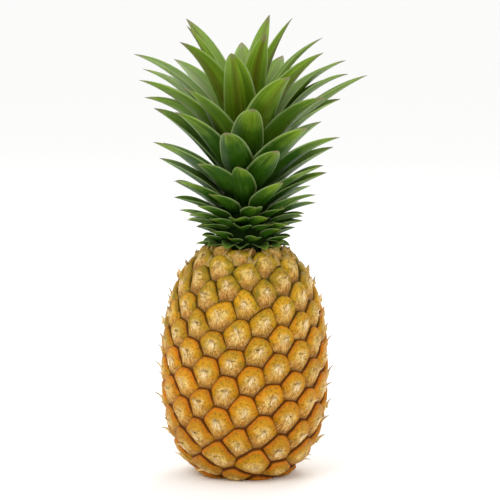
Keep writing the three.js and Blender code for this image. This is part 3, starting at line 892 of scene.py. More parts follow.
@dataclass(frozen=True)
class Blade:
    """The section that is swept along midribs: a thin lens, channelled along its middle.

    Its channel and thickness are shares of the blade's half width. The sweep turns the section
    over, so a negative channel raises the blade's margins above its midrib.
    """

    channel: float
    thickness: float
    sides: int

    def wire(self, name: str, midribs: list[Midrib]) -> bpy.types.Object:
        """Draws each midrib as a chain of edges that carries the blade's sizes.

        Args:
            name: The object's name.
            midribs: The midribs, all with as many points.

        Returns:
            A wire mesh object.
        """
        steps = len(midribs[0].points)
        starts = range(0, len(midribs) * steps, steps)
        edges = [(first + k, first + k + 1) for first in starts for k in range(steps - 1)]
        mesh = bpy.data.meshes.new(name)
        mesh.from_pydata([tuple(p) for midrib in midribs for p in midrib.points], edges, [])
        add_attribute(mesh, "half_width", "FLOAT", "POINT", np.concatenate([m.half_widths for m in midribs]))
        add_attribute(mesh, "lean", "FLOAT", "POINT", np.concatenate([m.leans for m in midribs]))
        add_attribute(mesh, "along", "FLOAT", "POINT", np.tile(np.linspace(0, 1, steps), len(midribs)))
        traits = np.repeat([(*m.traits, 0.0) for m in midribs], steps, axis=0)
        add_attribute(mesh, "blade_traits", "FLOAT_VECTOR", "POINT", traits)
        wire = bpy.data.objects.new(name, mesh)
        bpy.context.scene.collection.objects.link(wire)
        return wire

    def tree(self, material: bpy.types.Material) -> bpy.types.NodeTree:
        """Builds the node tree that sweeps a channelled section along each midrib.

        Args:
            material: The blades' finish.

        Returns:
            The tree, with inputs for the section.
        """
        tree = bpy.data.node_groups.new("blades", "GeometryNodeTree")
        tree.interface.new_socket("Geometry", in_out="INPUT", socket_type="NodeSocketGeometry")
        for name in ("Channel", "Thickness"):
            tree.interface.new_socket(name, in_out="INPUT", socket_type="NodeSocketFloat")
        tree.interface.new_socket("Sides", in_out="INPUT", socket_type="NodeSocketInt")
        tree.interface.new_socket("Geometry", in_out="OUTPUT", socket_type="NodeSocketGeometry")
        given = add(tree, "NodeGroupInput")
        sizes = given.outputs

        circle = add(tree, "GeometryNodeCurvePrimitiveCircle", {},
                     {"Resolution": sizes["Sides"], "Radius": 1.0})
        spot = add(tree, "GeometryNodeInputPosition")
        x, y, _ = add(tree, "ShaderNodeSeparateXYZ", {}, {0: spot}).outputs
        cupped = add(tree, "ShaderNodeMath", {"operation": "MULTIPLY"}, {0: x, 1: x})
        cupped = add(tree, "ShaderNodeMath", {"operation": "MULTIPLY"}, {0: cupped, 1: sizes["Channel"]})
        raised = add(tree, "ShaderNodeMath", {"operation": "MULTIPLY_ADD"},
                     {0: y, 1: sizes["Thickness"], 2: cupped})
        section = add(tree, "GeometryNodeSetPosition", {}, {
            "Geometry": circle.outputs["Curve"],
            "Position": add(tree, "ShaderNodeCombineXYZ", {}, {0: x, 1: raised, 2: 0.0})})
        below = add(tree, "ShaderNodeMath", {"operation": "LESS_THAN"}, {0: y, 1: 0.0})
        on_points = {"data_type": "FLOAT_VECTOR", "domain": "POINT"}
        kept = add(tree, "GeometryNodeStoreNamedAttribute", on_points, {
            "Geometry": circle.outputs["Curve"], "Name": "section_place",
            "Value": add(tree, "ShaderNodeCombineXYZ", {}, {0: x, 1: below, 2: 0.0})})
        tree.links.new(kept.outputs[0], section.inputs["Geometry"])

        curves = add(tree, "GeometryNodeMeshToCurve", {}, {"Mesh": sizes["Geometry"]})
        curves = add(tree, "GeometryNodeSetCurveNormal", {"mode": "Z_UP"}, {"Curve": curves})
        half_width = add(tree, "GeometryNodeInputNamedAttribute", {"data_type": "FLOAT"},
                         {"Name": "half_width"})
        curves = add(tree, "GeometryNodeSetCurveRadius", {}, {"Curve": curves, "Radius": half_width})
        lean = add(tree, "GeometryNodeInputNamedAttribute", {"data_type": "FLOAT"}, {"Name": "lean"})
        curves = add(tree, "GeometryNodeSetCurveTilt", {}, {"Curve": curves, "Tilt": lean})
        blades = add(tree, "GeometryNodeCurveToMesh", {}, {
            "Curve": curves, "Profile Curve": section, "Scale": half_width, "Fill Caps": True})
        along = add(tree, "GeometryNodeInputNamedAttribute", {"data_type": "FLOAT"}, {"Name": "along"})
        across = add(tree, "GeometryNodeInputNamedAttribute", {"data_type": "FLOAT_VECTOR"},
                     {"Name": "section_place"})
        x, below, _ = add(tree, "ShaderNodeSeparateXYZ", {}, {0: across}).outputs
        blades = add(tree, "GeometryNodeStoreNamedAttribute", on_points, {
            "Geometry": blades, "Name": "blade_place",
            "Value": add(tree, "ShaderNodeCombineXYZ", {}, {0: along, 1: x, 2: below})})
        blades = add(tree, "GeometryNodeSetShadeSmooth", {}, {"Geometry": blades})
        blades = add(tree, "GeometryNodeRealizeInstances", {}, {"Geometry": blades})
        blades = add(tree, "GeometryNodeSetMaterial", {}, {"Geometry": blades, "Material": material})
        add(tree, "NodeGroupOutput", {}, {0: blades})
        return tree

    def build(self, name: str, midribs: list[Midrib], material: bpy.types.Material) -> bpy.types.Object:
        """Builds blades as one mesh.

        Args:
            name: The object's name.
            midribs: Their midribs.
            material: Their finish.

        Returns:
            The blades.
        """
        sizes = {"Channel": self.channel, "Thickness": self.thickness, "Sides": self.sides}
        return bake_nodes(self.wire(name, midribs), self.tree(material), sizes)


@dataclass(frozen=True)
class BractFinish:
    """Dead bract: dry, papery and fibrous, cream to tan, with a grey-brown withered point. The ones
    round the neck are still partly olive.
    """

    tan: str = "b98a48"
    cream: str = "ecd7a6"
    withered: str = "7d6a4a"
    olive: str = "8a7222"
    golden: str = "a98232"
    roughness: float = 0.8

    def material(self) -> bpy.types.Material:
        """Builds the bract material. It reads places along and across each bract.

        Returns:
            The material.
        """
        material, tree, shader = new_material("dry_papery_bract")
        place = add(tree, "ShaderNodeAttribute", {"attribute_name": "blade_place"})
        along, across, _ = add(tree, "ShaderNodeSeparateXYZ", {}, {0: place.outputs["Vector"]}).outputs
        traits = add(tree, "ShaderNodeAttribute", {"attribute_name": "blade_traits"})
        neck, luck, _ = add(tree, "ShaderNodeSeparateXYZ", {}, {0: traits.outputs["Vector"]}).outputs
        fibre_place = add(tree, "ShaderNodeCombineXYZ", {}, {
            0: add(tree, "ShaderNodeMath", {"operation": "MULTIPLY"}, {0: across, 1: 3.0}),
            1: along,
            2: add(tree, "ShaderNodeMath", {"operation": "MULTIPLY"}, {0: luck, 1: 43.0})})
        fibres = add(tree, "ShaderNodeTexNoise", {}, {"Vector": fibre_place, "Scale": 1.6, "Detail": 3.0})
        skin = set_ramp(add(tree, "ShaderNodeValToRGB", {}, {0: fibres}), [
            (0.35, self.tan), (0.6, self.cream)])
        golden = add(tree, "ShaderNodeMath", {"operation": "MULTIPLY"}, {0: neck, 1: 0.75})
        skin = add(tree, "ShaderNodeMix", {"data_type": "RGBA"},
                   {"Factor": golden, "A": skin, "B": linear(self.golden)})
        olive = add(tree, "ShaderNodeMapRange", {}, {"Value": along, "From Min": 1.1, "From Max": 0.3})
        olive = add(tree, "ShaderNodeMath", {"operation": "MULTIPLY"}, {0: olive, 1: neck})
        olive = add(tree, "ShaderNodeMath", {"operation": "MULTIPLY"}, {0: olive, 1: fibres})
        skin = add(tree, "ShaderNodeMix", {"data_type": "RGBA"},
                   {"Factor": olive, "A": skin, "B": linear(self.olive)})
        dry = add(tree, "ShaderNodeMath", {"operation": "MULTIPLY_ADD"}, {0: luck, 1: 0.4, 2: along})
        dry = add(tree, "ShaderNodeMapRange", {"interpolation_type": "SMOOTHSTEP"},
                  {"Value": dry, "From Min": 0.75, "From Max": 1.2, "To Max": 0.85})
        skin = add(tree, "ShaderNodeMix", {"data_type": "RGBA"},
                   {"Factor": dry, "A": skin, "B": linear(self.withered)})
        tree.links.new(skin.outputs[2], shader.inputs["Base Color"])
        shader.inputs["Roughness"].default_value = self.roughness
        shader.inputs["Specular IOR Level"].default_value = 0.25
        return material


@dataclass
class Bracts:
    """What the flowers left on the eyes: a thorn over each middle, threads round it, scraps at the neck."""

    lattice: EyeLattice
    finish: BractFinish = field(default_factory=BractFinish)
    thorn: Blade = Blade(channel=0.25, thickness=0.3, sides=8)
    steps: int = 8
    length: tuple[float, float] = (7.5 * MM, 11.5 * MM)
    half_width: tuple[float, float] = (1.9 * MM, 3.0 * MM)
    foot: float = -3.4 * MM
    foot_height: float = 1.5 * MM
    foot_aside: tuple[float, float] = (-0.6 * MM, 0.6 * MM)
    heading: tuple[float, float] = (-0.45, 0.45)
    lift: tuple[float, float] = (10 * DEGREE, 95 * DEGREE)
    neck_z: tuple[float, float] = (148 * MM, 168 * MM)
    thread_count: int = 5
    thread_length: tuple[float, float] = (2.2 * MM, 5.0 * MM)
    thread_half_width: float = 0.24 * MM
    thread_spread: tuple[float, float] = (-2.5 * MM, 2.5 * MM)
    thread_foot_height: float = 1.4 * MM
    thread_heading: tuple[float, float] = (-2.6, 2.6)
    thread_lift: tuple[float, float] = (0.2, 1.1)
    scrap_count: int = 46
    scrap_z: tuple[float, float] = (162 * MM, 171 * MM)
    scrap_length: tuple[float, float] = (8 * MM, 12 * MM)
    scrap_half_width: tuple[float, float] = (3.2 * MM, 5.2 * MM)
    scrap_sunk: float = 1.0 * MM
    scrap_heading: tuple[float, float] = (-1.2, 1.2)
    scrap_lift: tuple[float, float] = (0.1, 0.7)
    finest: float = 0.12 * MM
    lowest: float = 8 * MM
    under_crown: float = 27 * MM

    def curl(self, eye: Eye, start: tuple[float, float, float], heading: float, length: float,
             lift: tuple[float, float], half_width: float, traits: tuple[float, float]) -> Midrib:
        """Draws a midrib that leaves an eye's skin and curls away from it.

        Args:
            eye: The eye.
            start: Right, up and out of its root.
            heading: Its direction on the skin, 0 for up and positive to the right.
            length: Its length.
            lift: Its angles to the skin at its root and its point.
            half_width: Half its width at the root.
            traits: Neck share and luck for the material.

        Returns:
            The midrib.
        """
        share = np.linspace(0, 1, self.steps)
        angle = between(lift, share)
        step = length / (self.steps - 1)
        onward = np.concatenate([[0], np.cumsum(np.cos(angle[:-1]) * step)])
        outward = np.concatenate([[0], np.cumsum(np.sin(angle[:-1]) * step)])
        right = start[0] + onward * math.sin(heading)
        up = start[1] + onward * math.cos(heading)
        points = (eye.position + right[:, None] * eye.right + up[:, None] * eye.upward
                  + (start[2] + outward)[:, None] * eye.normal)
        return Midrib(
            points=points,
            half_widths=np.maximum(half_width * (1 - share ** 2.0), self.finest),
            leans=(seeded(traits[1] * 71) - 0.5) * 1.2 * share,
            traits=traits)

    def thorn_on(self, number: int, eye: Eye) -> Midrib:
        """Draws the thorn that stands over an eye's middle.

        Args:
            number: The eye's number, which varies it.
            eye: The eye.

        Returns:
            Its midrib.
        """
        draw = draws(number * 31, 6)
        neck = float(smoothstep(eye.position[2], *self.neck_z))
        shorter = 1 - 0.3 * neck
        foot = (between(self.foot_aside, draw[2]), self.foot * eye.scale, self.foot_height)
        lift = (self.lift[0], self.lift[1] * (0.5 + 0.5 * draw[3]) * shorter)
        length = between(self.length, draw[0]) * shorter * eye.scale
        return self.curl(
            eye, foot, between(self.heading, draw[4]), length, lift,
            between(self.half_width, draw[1]), (neck, draw[5]))

    def thread_on(self, number: int, k: int, eye: Eye) -> Midrib:
        """Draws one of the fine threads round a thorn.

        Args:
            number: The eye's number, which varies it with the next.
            k: The thread's number on the eye.
            eye: The eye.

        Returns:
            Its midrib.
        """
        draw = draws(5000 + number * 97 + k * 13, 5)
        foot = (between(self.thread_spread, draw[1]), self.foot * (2 * draw[2] - 0.4),
                self.thread_foot_height)
        length = between(self.thread_length, draw[0])
        return self.curl(
            eye, foot, between(self.thread_heading, draw[3]), length,
            (0.15, between(self.thread_lift, draw[4])),
            self.thread_half_width, (0.0, draw[1]))

    def scrap(self, i: int) -> Midrib:
        """Draws one of the dry scraps that lie on the shoulder under the crown.

        Args:
            i: Its number, which places and varies it.

        Returns:
            Its midrib.
        """
        draw = draws(9000 + i * 17, 6)
        barrel = self.lattice.barrel
        height = np.array([between(self.scrap_z, draw[0])])
        spot = barrel.points(barrel.where("z", height), np.array([barrel.eye_turn * i]))
        directions = (spot[name][0] for name in ("position", "normal", "upward", "right"))
        return self.curl(
            Eye(np.zeros(3), *directions, 1.0), (0, 0, -self.scrap_sunk),
            between(self.scrap_heading, draw[3]), between(self.scrap_length, draw[1]),
            (0.2, between(self.scrap_lift, draw[4])),
            between(self.scrap_half_width, draw[2]), (1.0, draw[5]))

    def midribs(self) -> list[Midrib]:
        """Lists the midribs of all thorns, threads and neck scraps.

        Returns:
            The midribs.
        """
        midribs = []
        for number, eye in enumerate(self.lattice.eyes):
            x, y, z = eye.position
            if z < self.lowest or math.hypot(x, y) < self.under_crown < z:
                continue
            midribs.append(self.thorn_on(number, eye))
            midribs += [self.thread_on(number, k, eye) for k in range(self.thread_count)]
        return midribs + [self.scrap(i) for i in range(self.scrap_count)]

    def dress(self) -> None:
        """Builds the bracts and puts them on the fruit."""
        place_piece(self.thorn.build("dry_bracts", self.midribs(), self.finish.material()), Slot.RIND)


@dataclass(frozen=True)
class Leaf:
    """One leaf of the crown, by the rule of its midrib."""

    turn: float
    root_radius: float
    root_z: float
    length: float
    width: float
    rise: float
    arch: float
    rank: float
    luck: float


@dataclass(frozen=True)
class LeafFinish:
    """Living pineapple leaf: a smooth, leathery cuticle with fine lengthwise ribs, shiny on its
    outer face, and a thin pale bloom of scales within. Margins are pale, and the tips dry to straw.
    """

    deep_green_and_root_shade: str = "0a1e02"
    green: str = "2c5404"
    bright_green: str = "84a51c"
    bloom: str = "7f9a4c"
    margin: str = "a9bd78"
    rust: str = "5f5212"
    straw: str = "837a55"
    roughness: float = 0.37
    mottle_size: float = 14 * MM
    tone_span: float = 1.72

    def material(self) -> bpy.types.Material:
        """Builds the leaf material. It reads places along and across each leaf.

        Returns:
            The material.
        """
        material, tree, shader = new_material("living_pineapple_leaf")
        place = add(tree, "ShaderNodeAttribute", {"attribute_name": "blade_place"})
        along, across, within = add(tree, "ShaderNodeSeparateXYZ", {}, {0: place.outputs["Vector"]}).outputs
        traits = add(tree, "ShaderNodeAttribute", {"attribute_name": "blade_traits"})
        rank, luck, _ = add(tree, "ShaderNodeSeparateXYZ", {}, {0: traits.outputs["Vector"]}).outputs
        where = add(tree, "ShaderNodeTexCoord").outputs["Object"]
        mottle = add(tree, "ShaderNodeTexNoise", {},
                     {"Vector": where, "Scale": 1 / self.mottle_size, "Detail": 4.0})

        # Fine ribs run the length of the blade.
        lengthwise = add(tree, "ShaderNodeMath", {"operation": "MULTIPLY"}, {0: along, 1: 1.1})
        apart = add(tree, "ShaderNodeMath", {"operation": "MULTIPLY"}, {0: luck, 1: 31.0})
        rib_place = add(tree, "ShaderNodeCombineXYZ", {}, {
            0: add(tree, "ShaderNodeMath", {"operation": "MULTIPLY"}, {0: across, 1: 11.0}),
            1: lengthwise, 2: apart})
        ribs = add(tree, "ShaderNodeTexNoise", {},
                   {"Vector": rib_place, "Scale": 1.6, "Detail": 3.0, "Roughness": 0.6})

        # Painted shade makes the blade dark at its root and brighter towards its point, and young leaves are
        # brightest.
        tone = add(tree, "ShaderNodeMath", {"operation": "MULTIPLY_ADD"}, {0: ribs, 1: 0.6, 2: along})
        tone = add(tree, "ShaderNodeMath", {"operation": "MULTIPLY_ADD"}, {0: mottle, 1: 0.3, 2: tone})
        tone = add(tree, "ShaderNodeMath", {"operation": "MULTIPLY_ADD"}, {0: luck, 1: 0.2, 2: tone})
        tone = add(tree, "ShaderNodeMath", {"operation": "DIVIDE"}, {0: tone, 1: self.tone_span})
        skin = set_ramp(add(tree, "ShaderNodeValToRGB", {}, {0: tone}), [
            (0.28, self.deep_green_and_root_shade), (0.5, self.green), (0.7, self.green), (0.95, self.bright_green)])
        young = add(tree, "ShaderNodeMapRange", {},
                    {"Value": rank, "From Min": 0.68, "From Max": 1.0, "To Max": 0.72})
        skin = add(tree, "ShaderNodeMix", {"data_type": "RGBA"},
                   {"Factor": young, "A": skin, "B": linear(self.bright_green)})
        beside = add(tree, "ShaderNodeMath", {"operation": "ABSOLUTE"}, {0: across})
        streak = add(tree, "ShaderNodeMapRange", {"interpolation_type": "SMOOTHSTEP"},
                     {"Value": beside, "From Min": 0.5, "From Max": 0.1})
        streak = add(tree, "ShaderNodeMath", {"operation": "MULTIPLY"}, {0: streak, 1: young})
        skin = add(tree, "ShaderNodeMix", {"data_type": "RGBA"},
                   {"Factor": streak, "A": skin, "B": linear(self.rust)})

        # Darker stripes run the length of the blade, and pale scales are left in patches on top.
        stripe = add(tree, "ShaderNodeMapRange", {},
                     {"Value": ribs, "From Min": 0.52, "From Max": 0.36, "To Max": 0.5})
        skin = add(tree, "ShaderNodeMix", {"data_type": "RGBA"},
                   {"Factor": stripe, "A": skin, "B": linear(self.deep_green_and_root_shade)})
        scales = add(tree, "ShaderNodeMath", {"operation": "MULTIPLY"}, {0: mottle, 1: ribs})
        scales = add(tree, "ShaderNodeMapRange", {},
                     {"Value": scales, "From Min": 0.26, "From Max": 0.4, "To Max": 0.22})
        skin = add(tree, "ShaderNodeMix", {"data_type": "RGBA"},
                   {"Factor": scales, "A": skin, "B": linear(self.bloom)})

        # The inner face has a pale bloom, the margins are pale, and the point is dry.
        bloom = add(tree, "ShaderNodeMath", {"operation": "MULTIPLY"}, {0: ribs, 1: within})
        bloom = add(tree, "ShaderNodeMath", {"operation": "MULTIPLY"}, {0: bloom, 1: 0.6})
        skin = add(tree, "ShaderNodeMix", {"data_type": "RGBA"},
                   {"Factor": bloom, "A": skin, "B": linear(self.bloom)})
        margin = add(tree, "ShaderNodeMapRange", {"interpolation_type": "SMOOTHSTEP"},
                     {"Value": beside, "From Min": 0.86, "From Max": 1.0, "To Max": 0.62})
        skin = add(tree, "ShaderNodeMix", {"data_type": "RGBA"},
                   {"Factor": margin, "A": skin, "B": linear(self.margin)})
        dry = add(tree, "ShaderNodeMath", {"operation": "MULTIPLY_ADD"}, {0: mottle, 1: 0.08, 2: along})
        dry = add(tree, "ShaderNodeMapRange", {"interpolation_type": "SMOOTHSTEP"},
                  {"Value": dry, "From Min": 0.93, "From Max": 1.03})
        skin = add(tree, "ShaderNodeMix", {"data_type": "RGBA"},
                   {"Factor": dry, "A": skin, "B": linear(self.straw)})
        tree.links.new(skin.outputs[2], shader.inputs["Base Color"])

        bump = add(tree, "ShaderNodeBump", {}, {"Height": ribs, "Strength": 0.7, "Distance": 0.6 * MM})
        tree.links.new(bump.outputs[0], shader.inputs["Normal"])
        shader.inputs["Roughness"].default_value = self.roughness
        shader.inputs["IOR"].default_value = 1.45
        shader.inputs["Specular IOR Level"].default_value = 0.34
        shader.inputs["Subsurface Weight"].default_value = 0.05
        shader.inputs["Subsurface Radius"].default_value = (0.6 * MM, 1.2 * MM, 0.3 * MM)
        shader.inputs["Subsurface Scale"].default_value = 1.0
        return material


@dataclass(frozen=True)
class NeckRing:
    """Small leaves round the neck: their turn, count and heights on the stem, and the ends of their sizes."""

    key: int
    turn: float
    count: int
    z: tuple[float, float]
    length: tuple[float, float]
    width: tuple[float, float]
    rise: tuple[float, float]
    arch: tuple[float, float]


@dataclass
class Crown:
    """The leafy crown: every leaf of the stem by its rule, and two rings of small leaves round the neck.

    Pairs of sizes are a leaf's at the lowest place on the stem and at the highest. Pairs that end
    in over are the shares of the climb between which a change is made, and pairs that end in varies
    are the least and the most that a leaf's own luck makes of it.
    """

    finish: LeafFinish = field(default_factory=LeafFinish)
    stem_shade_colour: str = "16240a"
    seat_z: float = 169.5 * MM
    seat_radius: float = 24.0 * MM
    seat_gap: float = 0.3 * MM
    stem_top_z: float = 264 * MM
    stem_top_radius: float = 6 * MM
    leaf_count: int = 86
    leaf_turn: float = 137.5 * DEGREE
    first_turn: float = 257.5 * DEGREE
    climb_power: float = 1.52
    climb_over: tuple[float, float] = (-0.18, 1.08)
    root_z: tuple[float, float] = (182 * MM, 244 * MM)
    length: tuple[float, float] = (14.6 * MM, 122 * MM)
    length_power: float = 0.91
    width: tuple[float, float] = (15 * MM, 27 * MM)
    widens_over: tuple[float, float] = (0.0, 0.7)
    rise: tuple[float, float] = (8.7 * DEGREE, 40 * DEGREE)
    rise_power: float = 2.55
    arch: tuple[float, float] = (15 * DEGREE, 46 * DEGREE)
    arches_over: tuple[float, float] = (0.26, 0.89)
    bend_power: float = 1.5
    top_over: tuple[float, float] = (0.88, 1.0)
    top_narrower: float = 0.8
    top_shorter: float = 0.86
    top_straighter: float = 0.5
    top_steeper: float = 26.5 * DEGREE
    length_varies: tuple[float, float] = (0.93, 1.05)
    arch_varies: tuple[float, float] = (0.5, 1.5)
    turn_varies: tuple[float, float] = (-7 * DEGREE, 7 * DEGREE)
    rise_varies: tuple[float, float] = (-5 * DEGREE, 5 * DEGREE)
    sway_varies: tuple[float, float] = (-0.05, 0.05)
    neck: tuple[NeckRing, ...] = (
        NeckRing(1000, 0.0, 13, (175.5 * MM, 181 * MM), (13 * MM, 21 * MM), (12.8 * MM, 17.2 * MM),
                 (16 * DEGREE, 28 * DEGREE), (0.0, 30 * DEGREE)),
        NeckRing(1100, 66 * DEGREE, 15, (172 * MM, 178 * MM), (10 * MM, 17 * MM), (11 * MM, 15 * MM),
                 (-14 * DEGREE, 10 * DEGREE), (10 * DEGREE, 50 * DEGREE)))
    root_sunk: float = 5 * MM
    root_width: float = 0.55
    full_width_from: tuple[float, float] = (0.03, 0.4)
    point_power: float = 3.2
    finest: float = 0.3 * MM
    midrib_steps: int = 22
    blade: Blade = Blade(channel=-0.46, thickness=0.085, sides=16)

    def stem_radius(self, z: float) -> float:
        """Gives the stem's radius at a height.

        Args:
            z: The height.

        Returns:
            The radius.
        """
        share = (z - self.seat_z) / (self.stem_top_z - self.seat_z)
        return between((self.seat_radius, self.stem_top_radius), share)

    def leaf(self, i: int) -> Leaf:
        """Sizes a leaf of the stem: short and spreading below, long and arching above, upright on top.

        Args:
            i: Its number, from the lowest.

        Returns:
            The leaf.
        """
        longer, bends, luck, turns, rises = draws(i * 7 + 1, 5)
        share = i / (self.leaf_count - 1)
        height = float(smoothstep(share ** self.climb_power, *self.climb_over))
        top = float(smoothstep(share, *self.top_over))
        root_z = between(self.root_z, height)
        length = between(self.length, height ** self.length_power) * between(self.length_varies, longer)
        width = between(self.width, float(smoothstep(height, *self.widens_over)))
        rise = between(self.rise, 1 - (1 - height) ** self.rise_power) + between(self.rise_varies, rises)
        arch = between(self.arch, float(smoothstep(height, *self.arches_over)))
        return Leaf(
            turn=self.first_turn + self.leaf_turn * i + between(self.turn_varies, turns),
            root_radius=self.stem_radius(root_z) - self.root_sunk,
            root_z=root_z,
            length=length * between((1, self.top_shorter), top) + self.root_sunk,
            width=width * between((1, self.top_narrower), top),
            rise=rise + self.top_steeper * top,
            arch=arch * between(self.arch_varies, bends) * between((1, self.top_straighter), top),
            rank=share,
            luck=luck)

    def neck_leaf(self, ring: NeckRing, i: int) -> Leaf:
        """Sizes a small leaf of a neck ring.

        Args:
            ring: The ring.
            i: The leaf's number in it.

        Returns:
            The leaf.
        """
        longer, wider, rises, bends, luck = draws((ring.key + i) * 7 + 1, 5)
        root_z = between(ring.z, i / ring.count)
        return Leaf(
            turn=self.first_turn + ring.turn - self.leaf_turn * (i + 1),
            root_radius=self.stem_radius(root_z) - self.root_sunk,
            root_z=root_z,
            length=between(ring.length, longer) + self.root_sunk,
            width=between(ring.width, wider),
            rise=between(ring.rise, rises),
            arch=between(ring.arch, bends),
            rank=0,
            luck=luck)

    def leaves(self) -> list[Leaf]:
        """Lists the leaves.

        Returns:
            The leaves of the stem, then those of the neck.
        """
        stem = [self.leaf(i) for i in range(self.leaf_count)]
        return stem + [self.neck_leaf(ring, i) for ring in self.neck for i in range(ring.count)]

    def midrib(self, leaf: Leaf) -> Midrib:
        """Works out the midrib of a leaf.

        Args:
            leaf: The leaf.

        Returns:
            Its midrib.
        """
        share = np.linspace(0, 1, self.midrib_steps)
        out = np.array([math.sin(leaf.turn), -math.cos(leaf.turn), 0])
        aside = np.array([math.cos(leaf.turn), math.sin(leaf.turn), 0])
        climb = leaf.rise + leaf.arch * (0.5 - share ** self.bend_power)
        step = leaf.length / (self.midrib_steps - 1)
        run = np.concatenate([[0], np.cumsum(np.cos(climb[:-1]) * step)]) + leaf.root_radius
        lift = np.concatenate([[0], np.cumsum(np.sin(climb[:-1]) * step)]) + leaf.root_z
        sway = between(self.sway_varies, leaf.luck) * leaf.length * share ** 2
        clasp = between((self.root_width, 1), smoothstep(share, *self.full_width_from))
        taper = (1 - share ** self.point_power) ** 0.9
        return Midrib(
            points=run[:, None] * out + lift[:, None] * np.array([0, 0, 1]) + sway[:, None] * aside,
            half_widths=np.maximum(leaf.width / 2 * clasp * taper, self.finest),
            leans=(seeded(leaf.luck * 91) - 0.5) * 0.7 * share,
            traits=(leaf.rank, leaf.luck))

    def build(self) -> bpy.types.Object:
        """Builds all leaves as one mesh.

        Returns:
            The crown's leaves.
        """
        midribs = [self.midrib(leaf) for leaf in self.leaves()]
        return self.blade.build("crown_leaves", midribs, self.finish.material())

    def stem(self) -> bpy.types.Object:
        """Turns the stem that the leaves grow from, a little within their roots.

        Returns:
            The stem.
        """
        steps, sides = 12, 48
        heights = np.linspace(self.seat_z + self.seat_gap, self.stem_top_z, steps)
        rings = [(0.0, heights[0])] + [(self.stem_radius(z), z) for z in heights] + [(0.0, heights[-1])]
        stem = turned("crown_stem", rings, sides)
        # The stem's dark, matt colour is painted shade among the leaf bases.
        material, _, shader = new_material("shaded_leaf_bases")
        shader.inputs["Base Color"].default_value = linear(self.stem_shade_colour)
        shader.inputs["Roughness"].default_value = 1.0
        shader.inputs["Specular IOR Level"].default_value = 0.0
        stem.data.materials.append(material)
        return stem

    def dress(self) -> None:
        """Builds the crown and puts it in its place."""
        place_piece(self.build(), Slot.LEAF, "crown")
        place_piece(self.stem(), Slot.LEAF)


@dataclass(frozen=True)
class StalkEnd:
    """The cut end of the stalk: dry woody fibres in a paler ring round a darker heart, with a brown bark."""

    radius: float = 13.0 * MM
    length: float = 4.6 * MM
    hollow: float = 0.5 * MM
    edge: float = 0.6 * MM
    bark: str = "5c3f20"
    wood: str = "b79563"
    heart: str = "8d6a3c"
    fibre: str = "6b4a26"
    fibre_size: float = 0.9 * MM
    wobble_size: float = 5 * MM

    def material(self) -> bpy.types.Material:
        """Builds the material. It reads object coordinates, whose origin is the middle of the cut.

        Returns:
            The material.
        """
        material, tree, shader = new_material("dried_cut_stalk")
        where = add(tree, "ShaderNodeTexCoord").outputs["Object"]
        x, y, _ = add(tree, "ShaderNodeSeparateXYZ", {}, {0: where}).outputs
        flat = add(tree, "ShaderNodeCombineXYZ", {}, {0: x, 1: y})
        out = add(tree, "ShaderNodeVectorMath", {"operation": "LENGTH"}, {0: flat}).outputs["Value"]
        share = add(tree, "ShaderNodeMath", {"operation": "DIVIDE"}, {0: out, 1: self.radius})
        wobble = add(tree, "ShaderNodeTexNoise", {},
                     {"Vector": where, "Scale": 1 / self.wobble_size, "Detail": 3.0})
        share = add(tree, "ShaderNodeMath", {"operation": "MULTIPLY_ADD"}, {0: wobble, 1: 0.3, 2: share})
        skin = set_ramp(add(tree, "ShaderNodeValToRGB", {}, {0: share}), [
            (0.25, self.heart), (0.55, self.wood), (0.92, self.wood), (1.0, self.bark)])
        fibres = add(tree, "ShaderNodeTexVoronoi", {}, {"Vector": where, "Scale": 1 / self.fibre_size})
        ends = fibres.outputs["Distance"]
        dots = add(tree, "ShaderNodeMapRange", {"interpolation_type": "SMOOTHSTEP"},
                   {"Value": ends, "From Min": 0.4, "From Max": 0.15, "To Max": 0.7})
        skin = add(tree, "ShaderNodeMix", {"data_type": "RGBA"},
                   {"Factor": dots, "A": skin, "B": linear(self.fibre)})
        tree.links.new(skin.outputs[2], shader.inputs["Base Color"])
        bump = add(tree, "ShaderNodeBump", {}, {"Height": ends, "Strength": 0.6, "Distance": 0.5 * MM})
        tree.links.new(bump.outputs[0], shader.inputs["Normal"])
        shader.inputs["Roughness"].default_value = 0.85
        shader.inputs["Specular IOR Level"].default_value = 0.2
        return material

    def dress(self) -> None:
        """Turns the stalk end, slightly hollow in its middle, and puts it in the stalk's place."""
        steps, sides = 14, 64
        shares = np.linspace(0, 0.97, steps)
        cut = [(self.radius * share, self.hollow * (1 - share ** 2)) for share in shares]
        side = [(self.radius, self.edge), (self.radius, self.length), (0.0, self.length)]
        stalk = turned("stalk_end", cut + side, sides)
        stalk.data.materials.append(self.material())
        place_piece(stalk, Slot.STALK_END, "stalk")


@dataclass(frozen=True)
class Lamp:
    """A square soft light: its name, where it hangs, its side in metres and its power in watts."""

    name: str
    place: tuple[float, float, float]
    size: float
    power: float


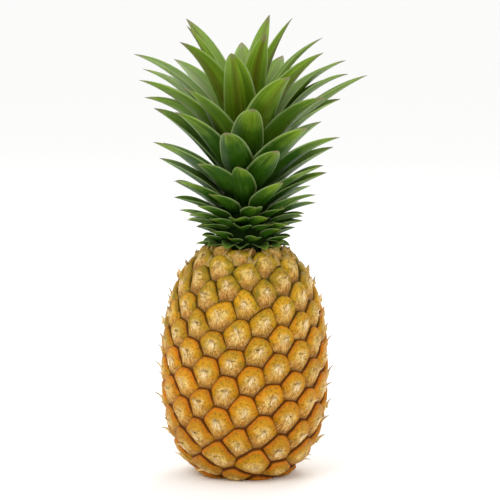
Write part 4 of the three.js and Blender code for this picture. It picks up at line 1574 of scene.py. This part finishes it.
@dataclass(frozen=True)
class Studio:
    """A plain pale floor, soft lights and the camera at the photograph's angle."""

    aim: tuple[float, float, float] = (4.0 * MM, 0.0, 171.0 * MM)
    elevation: float = 6.86 * DEGREE
    distance: float = 2200 * MM
    lens: float = 209.5
    floor_half: float = 16.0
    paper: str = "fdfdfc"
    sky: float = 0.98
    lamps: tuple[Lamp, ...] = (
        Lamp("key", (-0.8, -1.3, 1.5), 1.0, 14),
        Lamp("fill", (1.3, -1.2, 0.7), 1.2, 3),
        Lamp("back", (0.4, 1.2, 1.4), 1.0, 10))

    def floor(self) -> None:
        """Lays the floor."""
        half = self.floor_half
        corners = np.array([(-half, -half, 0), (half, -half, 0), (half, half, 0), (-half, half, 0)])
        floor = mesh_object("floor", corners, [(0, 1, 2, 3)], smooth=False)
        material, _, shader = new_material("matt_white_paper")
        shader.inputs["Base Color"].default_value = linear(self.paper)
        shader.inputs["Roughness"].default_value = 0.8
        floor.data.materials.append(material)

    def hang(self, lamp: Lamp) -> None:
        """Hangs a lamp that faces the fruit.

        Args:
            lamp: The lamp.
        """
        data = bpy.data.lights.new(lamp.name, "AREA")
        data.size = lamp.size
        data.energy = lamp.power
        hung = bpy.data.objects.new(lamp.name, data)
        bpy.context.scene.collection.objects.link(hung)
        hung.location = lamp.place
        hung.rotation_euler = (Vector(self.aim) - Vector(lamp.place)).to_track_quat("-Z", "Y").to_euler()

    def camera(self) -> None:
        """Sets the camera where the photograph's was."""
        data = bpy.data.cameras.new("camera")
        data.lens = self.lens
        data.sensor_width = 36
        data.clip_end = 60
        camera = bpy.data.objects.new("camera", data)
        bpy.context.scene.collection.objects.link(camera)
        back = Vector((0, -math.cos(self.elevation), math.sin(self.elevation)))
        camera.location = Vector(self.aim) + back * self.distance
        camera.rotation_euler = (-back).to_track_quat("-Z", "Y").to_euler()
        bpy.context.scene.camera = camera

    def build(self) -> None:
        """Sets up the whole studio."""
        self.floor()
        for lamp in self.lamps:
            self.hang(lamp)
        world = bpy.data.worlds.new("studio")
        world.use_nodes = True
        background = world.node_tree.nodes["Background"]
        background.inputs["Color"].default_value = linear("ffffff")
        background.inputs["Strength"].default_value = self.sky
        bpy.context.scene.world = world
        bpy.context.scene.view_settings.view_transform = "Standard"
        self.camera()


def main() -> None:
    """Builds every piece in order and notes the sizes."""
    logging.basicConfig(level=logging.INFO, format="%(message)s")
    lattice = EyeLattice(Barrel())
    LOG.info("eyes: %d", len(lattice.eyes))
    Studio().build()
    Rind(lattice).dress()
    Bracts(lattice).dress()
    Crown().dress()
    StalkEnd().dress()


if __name__ == "__main__":
    main()
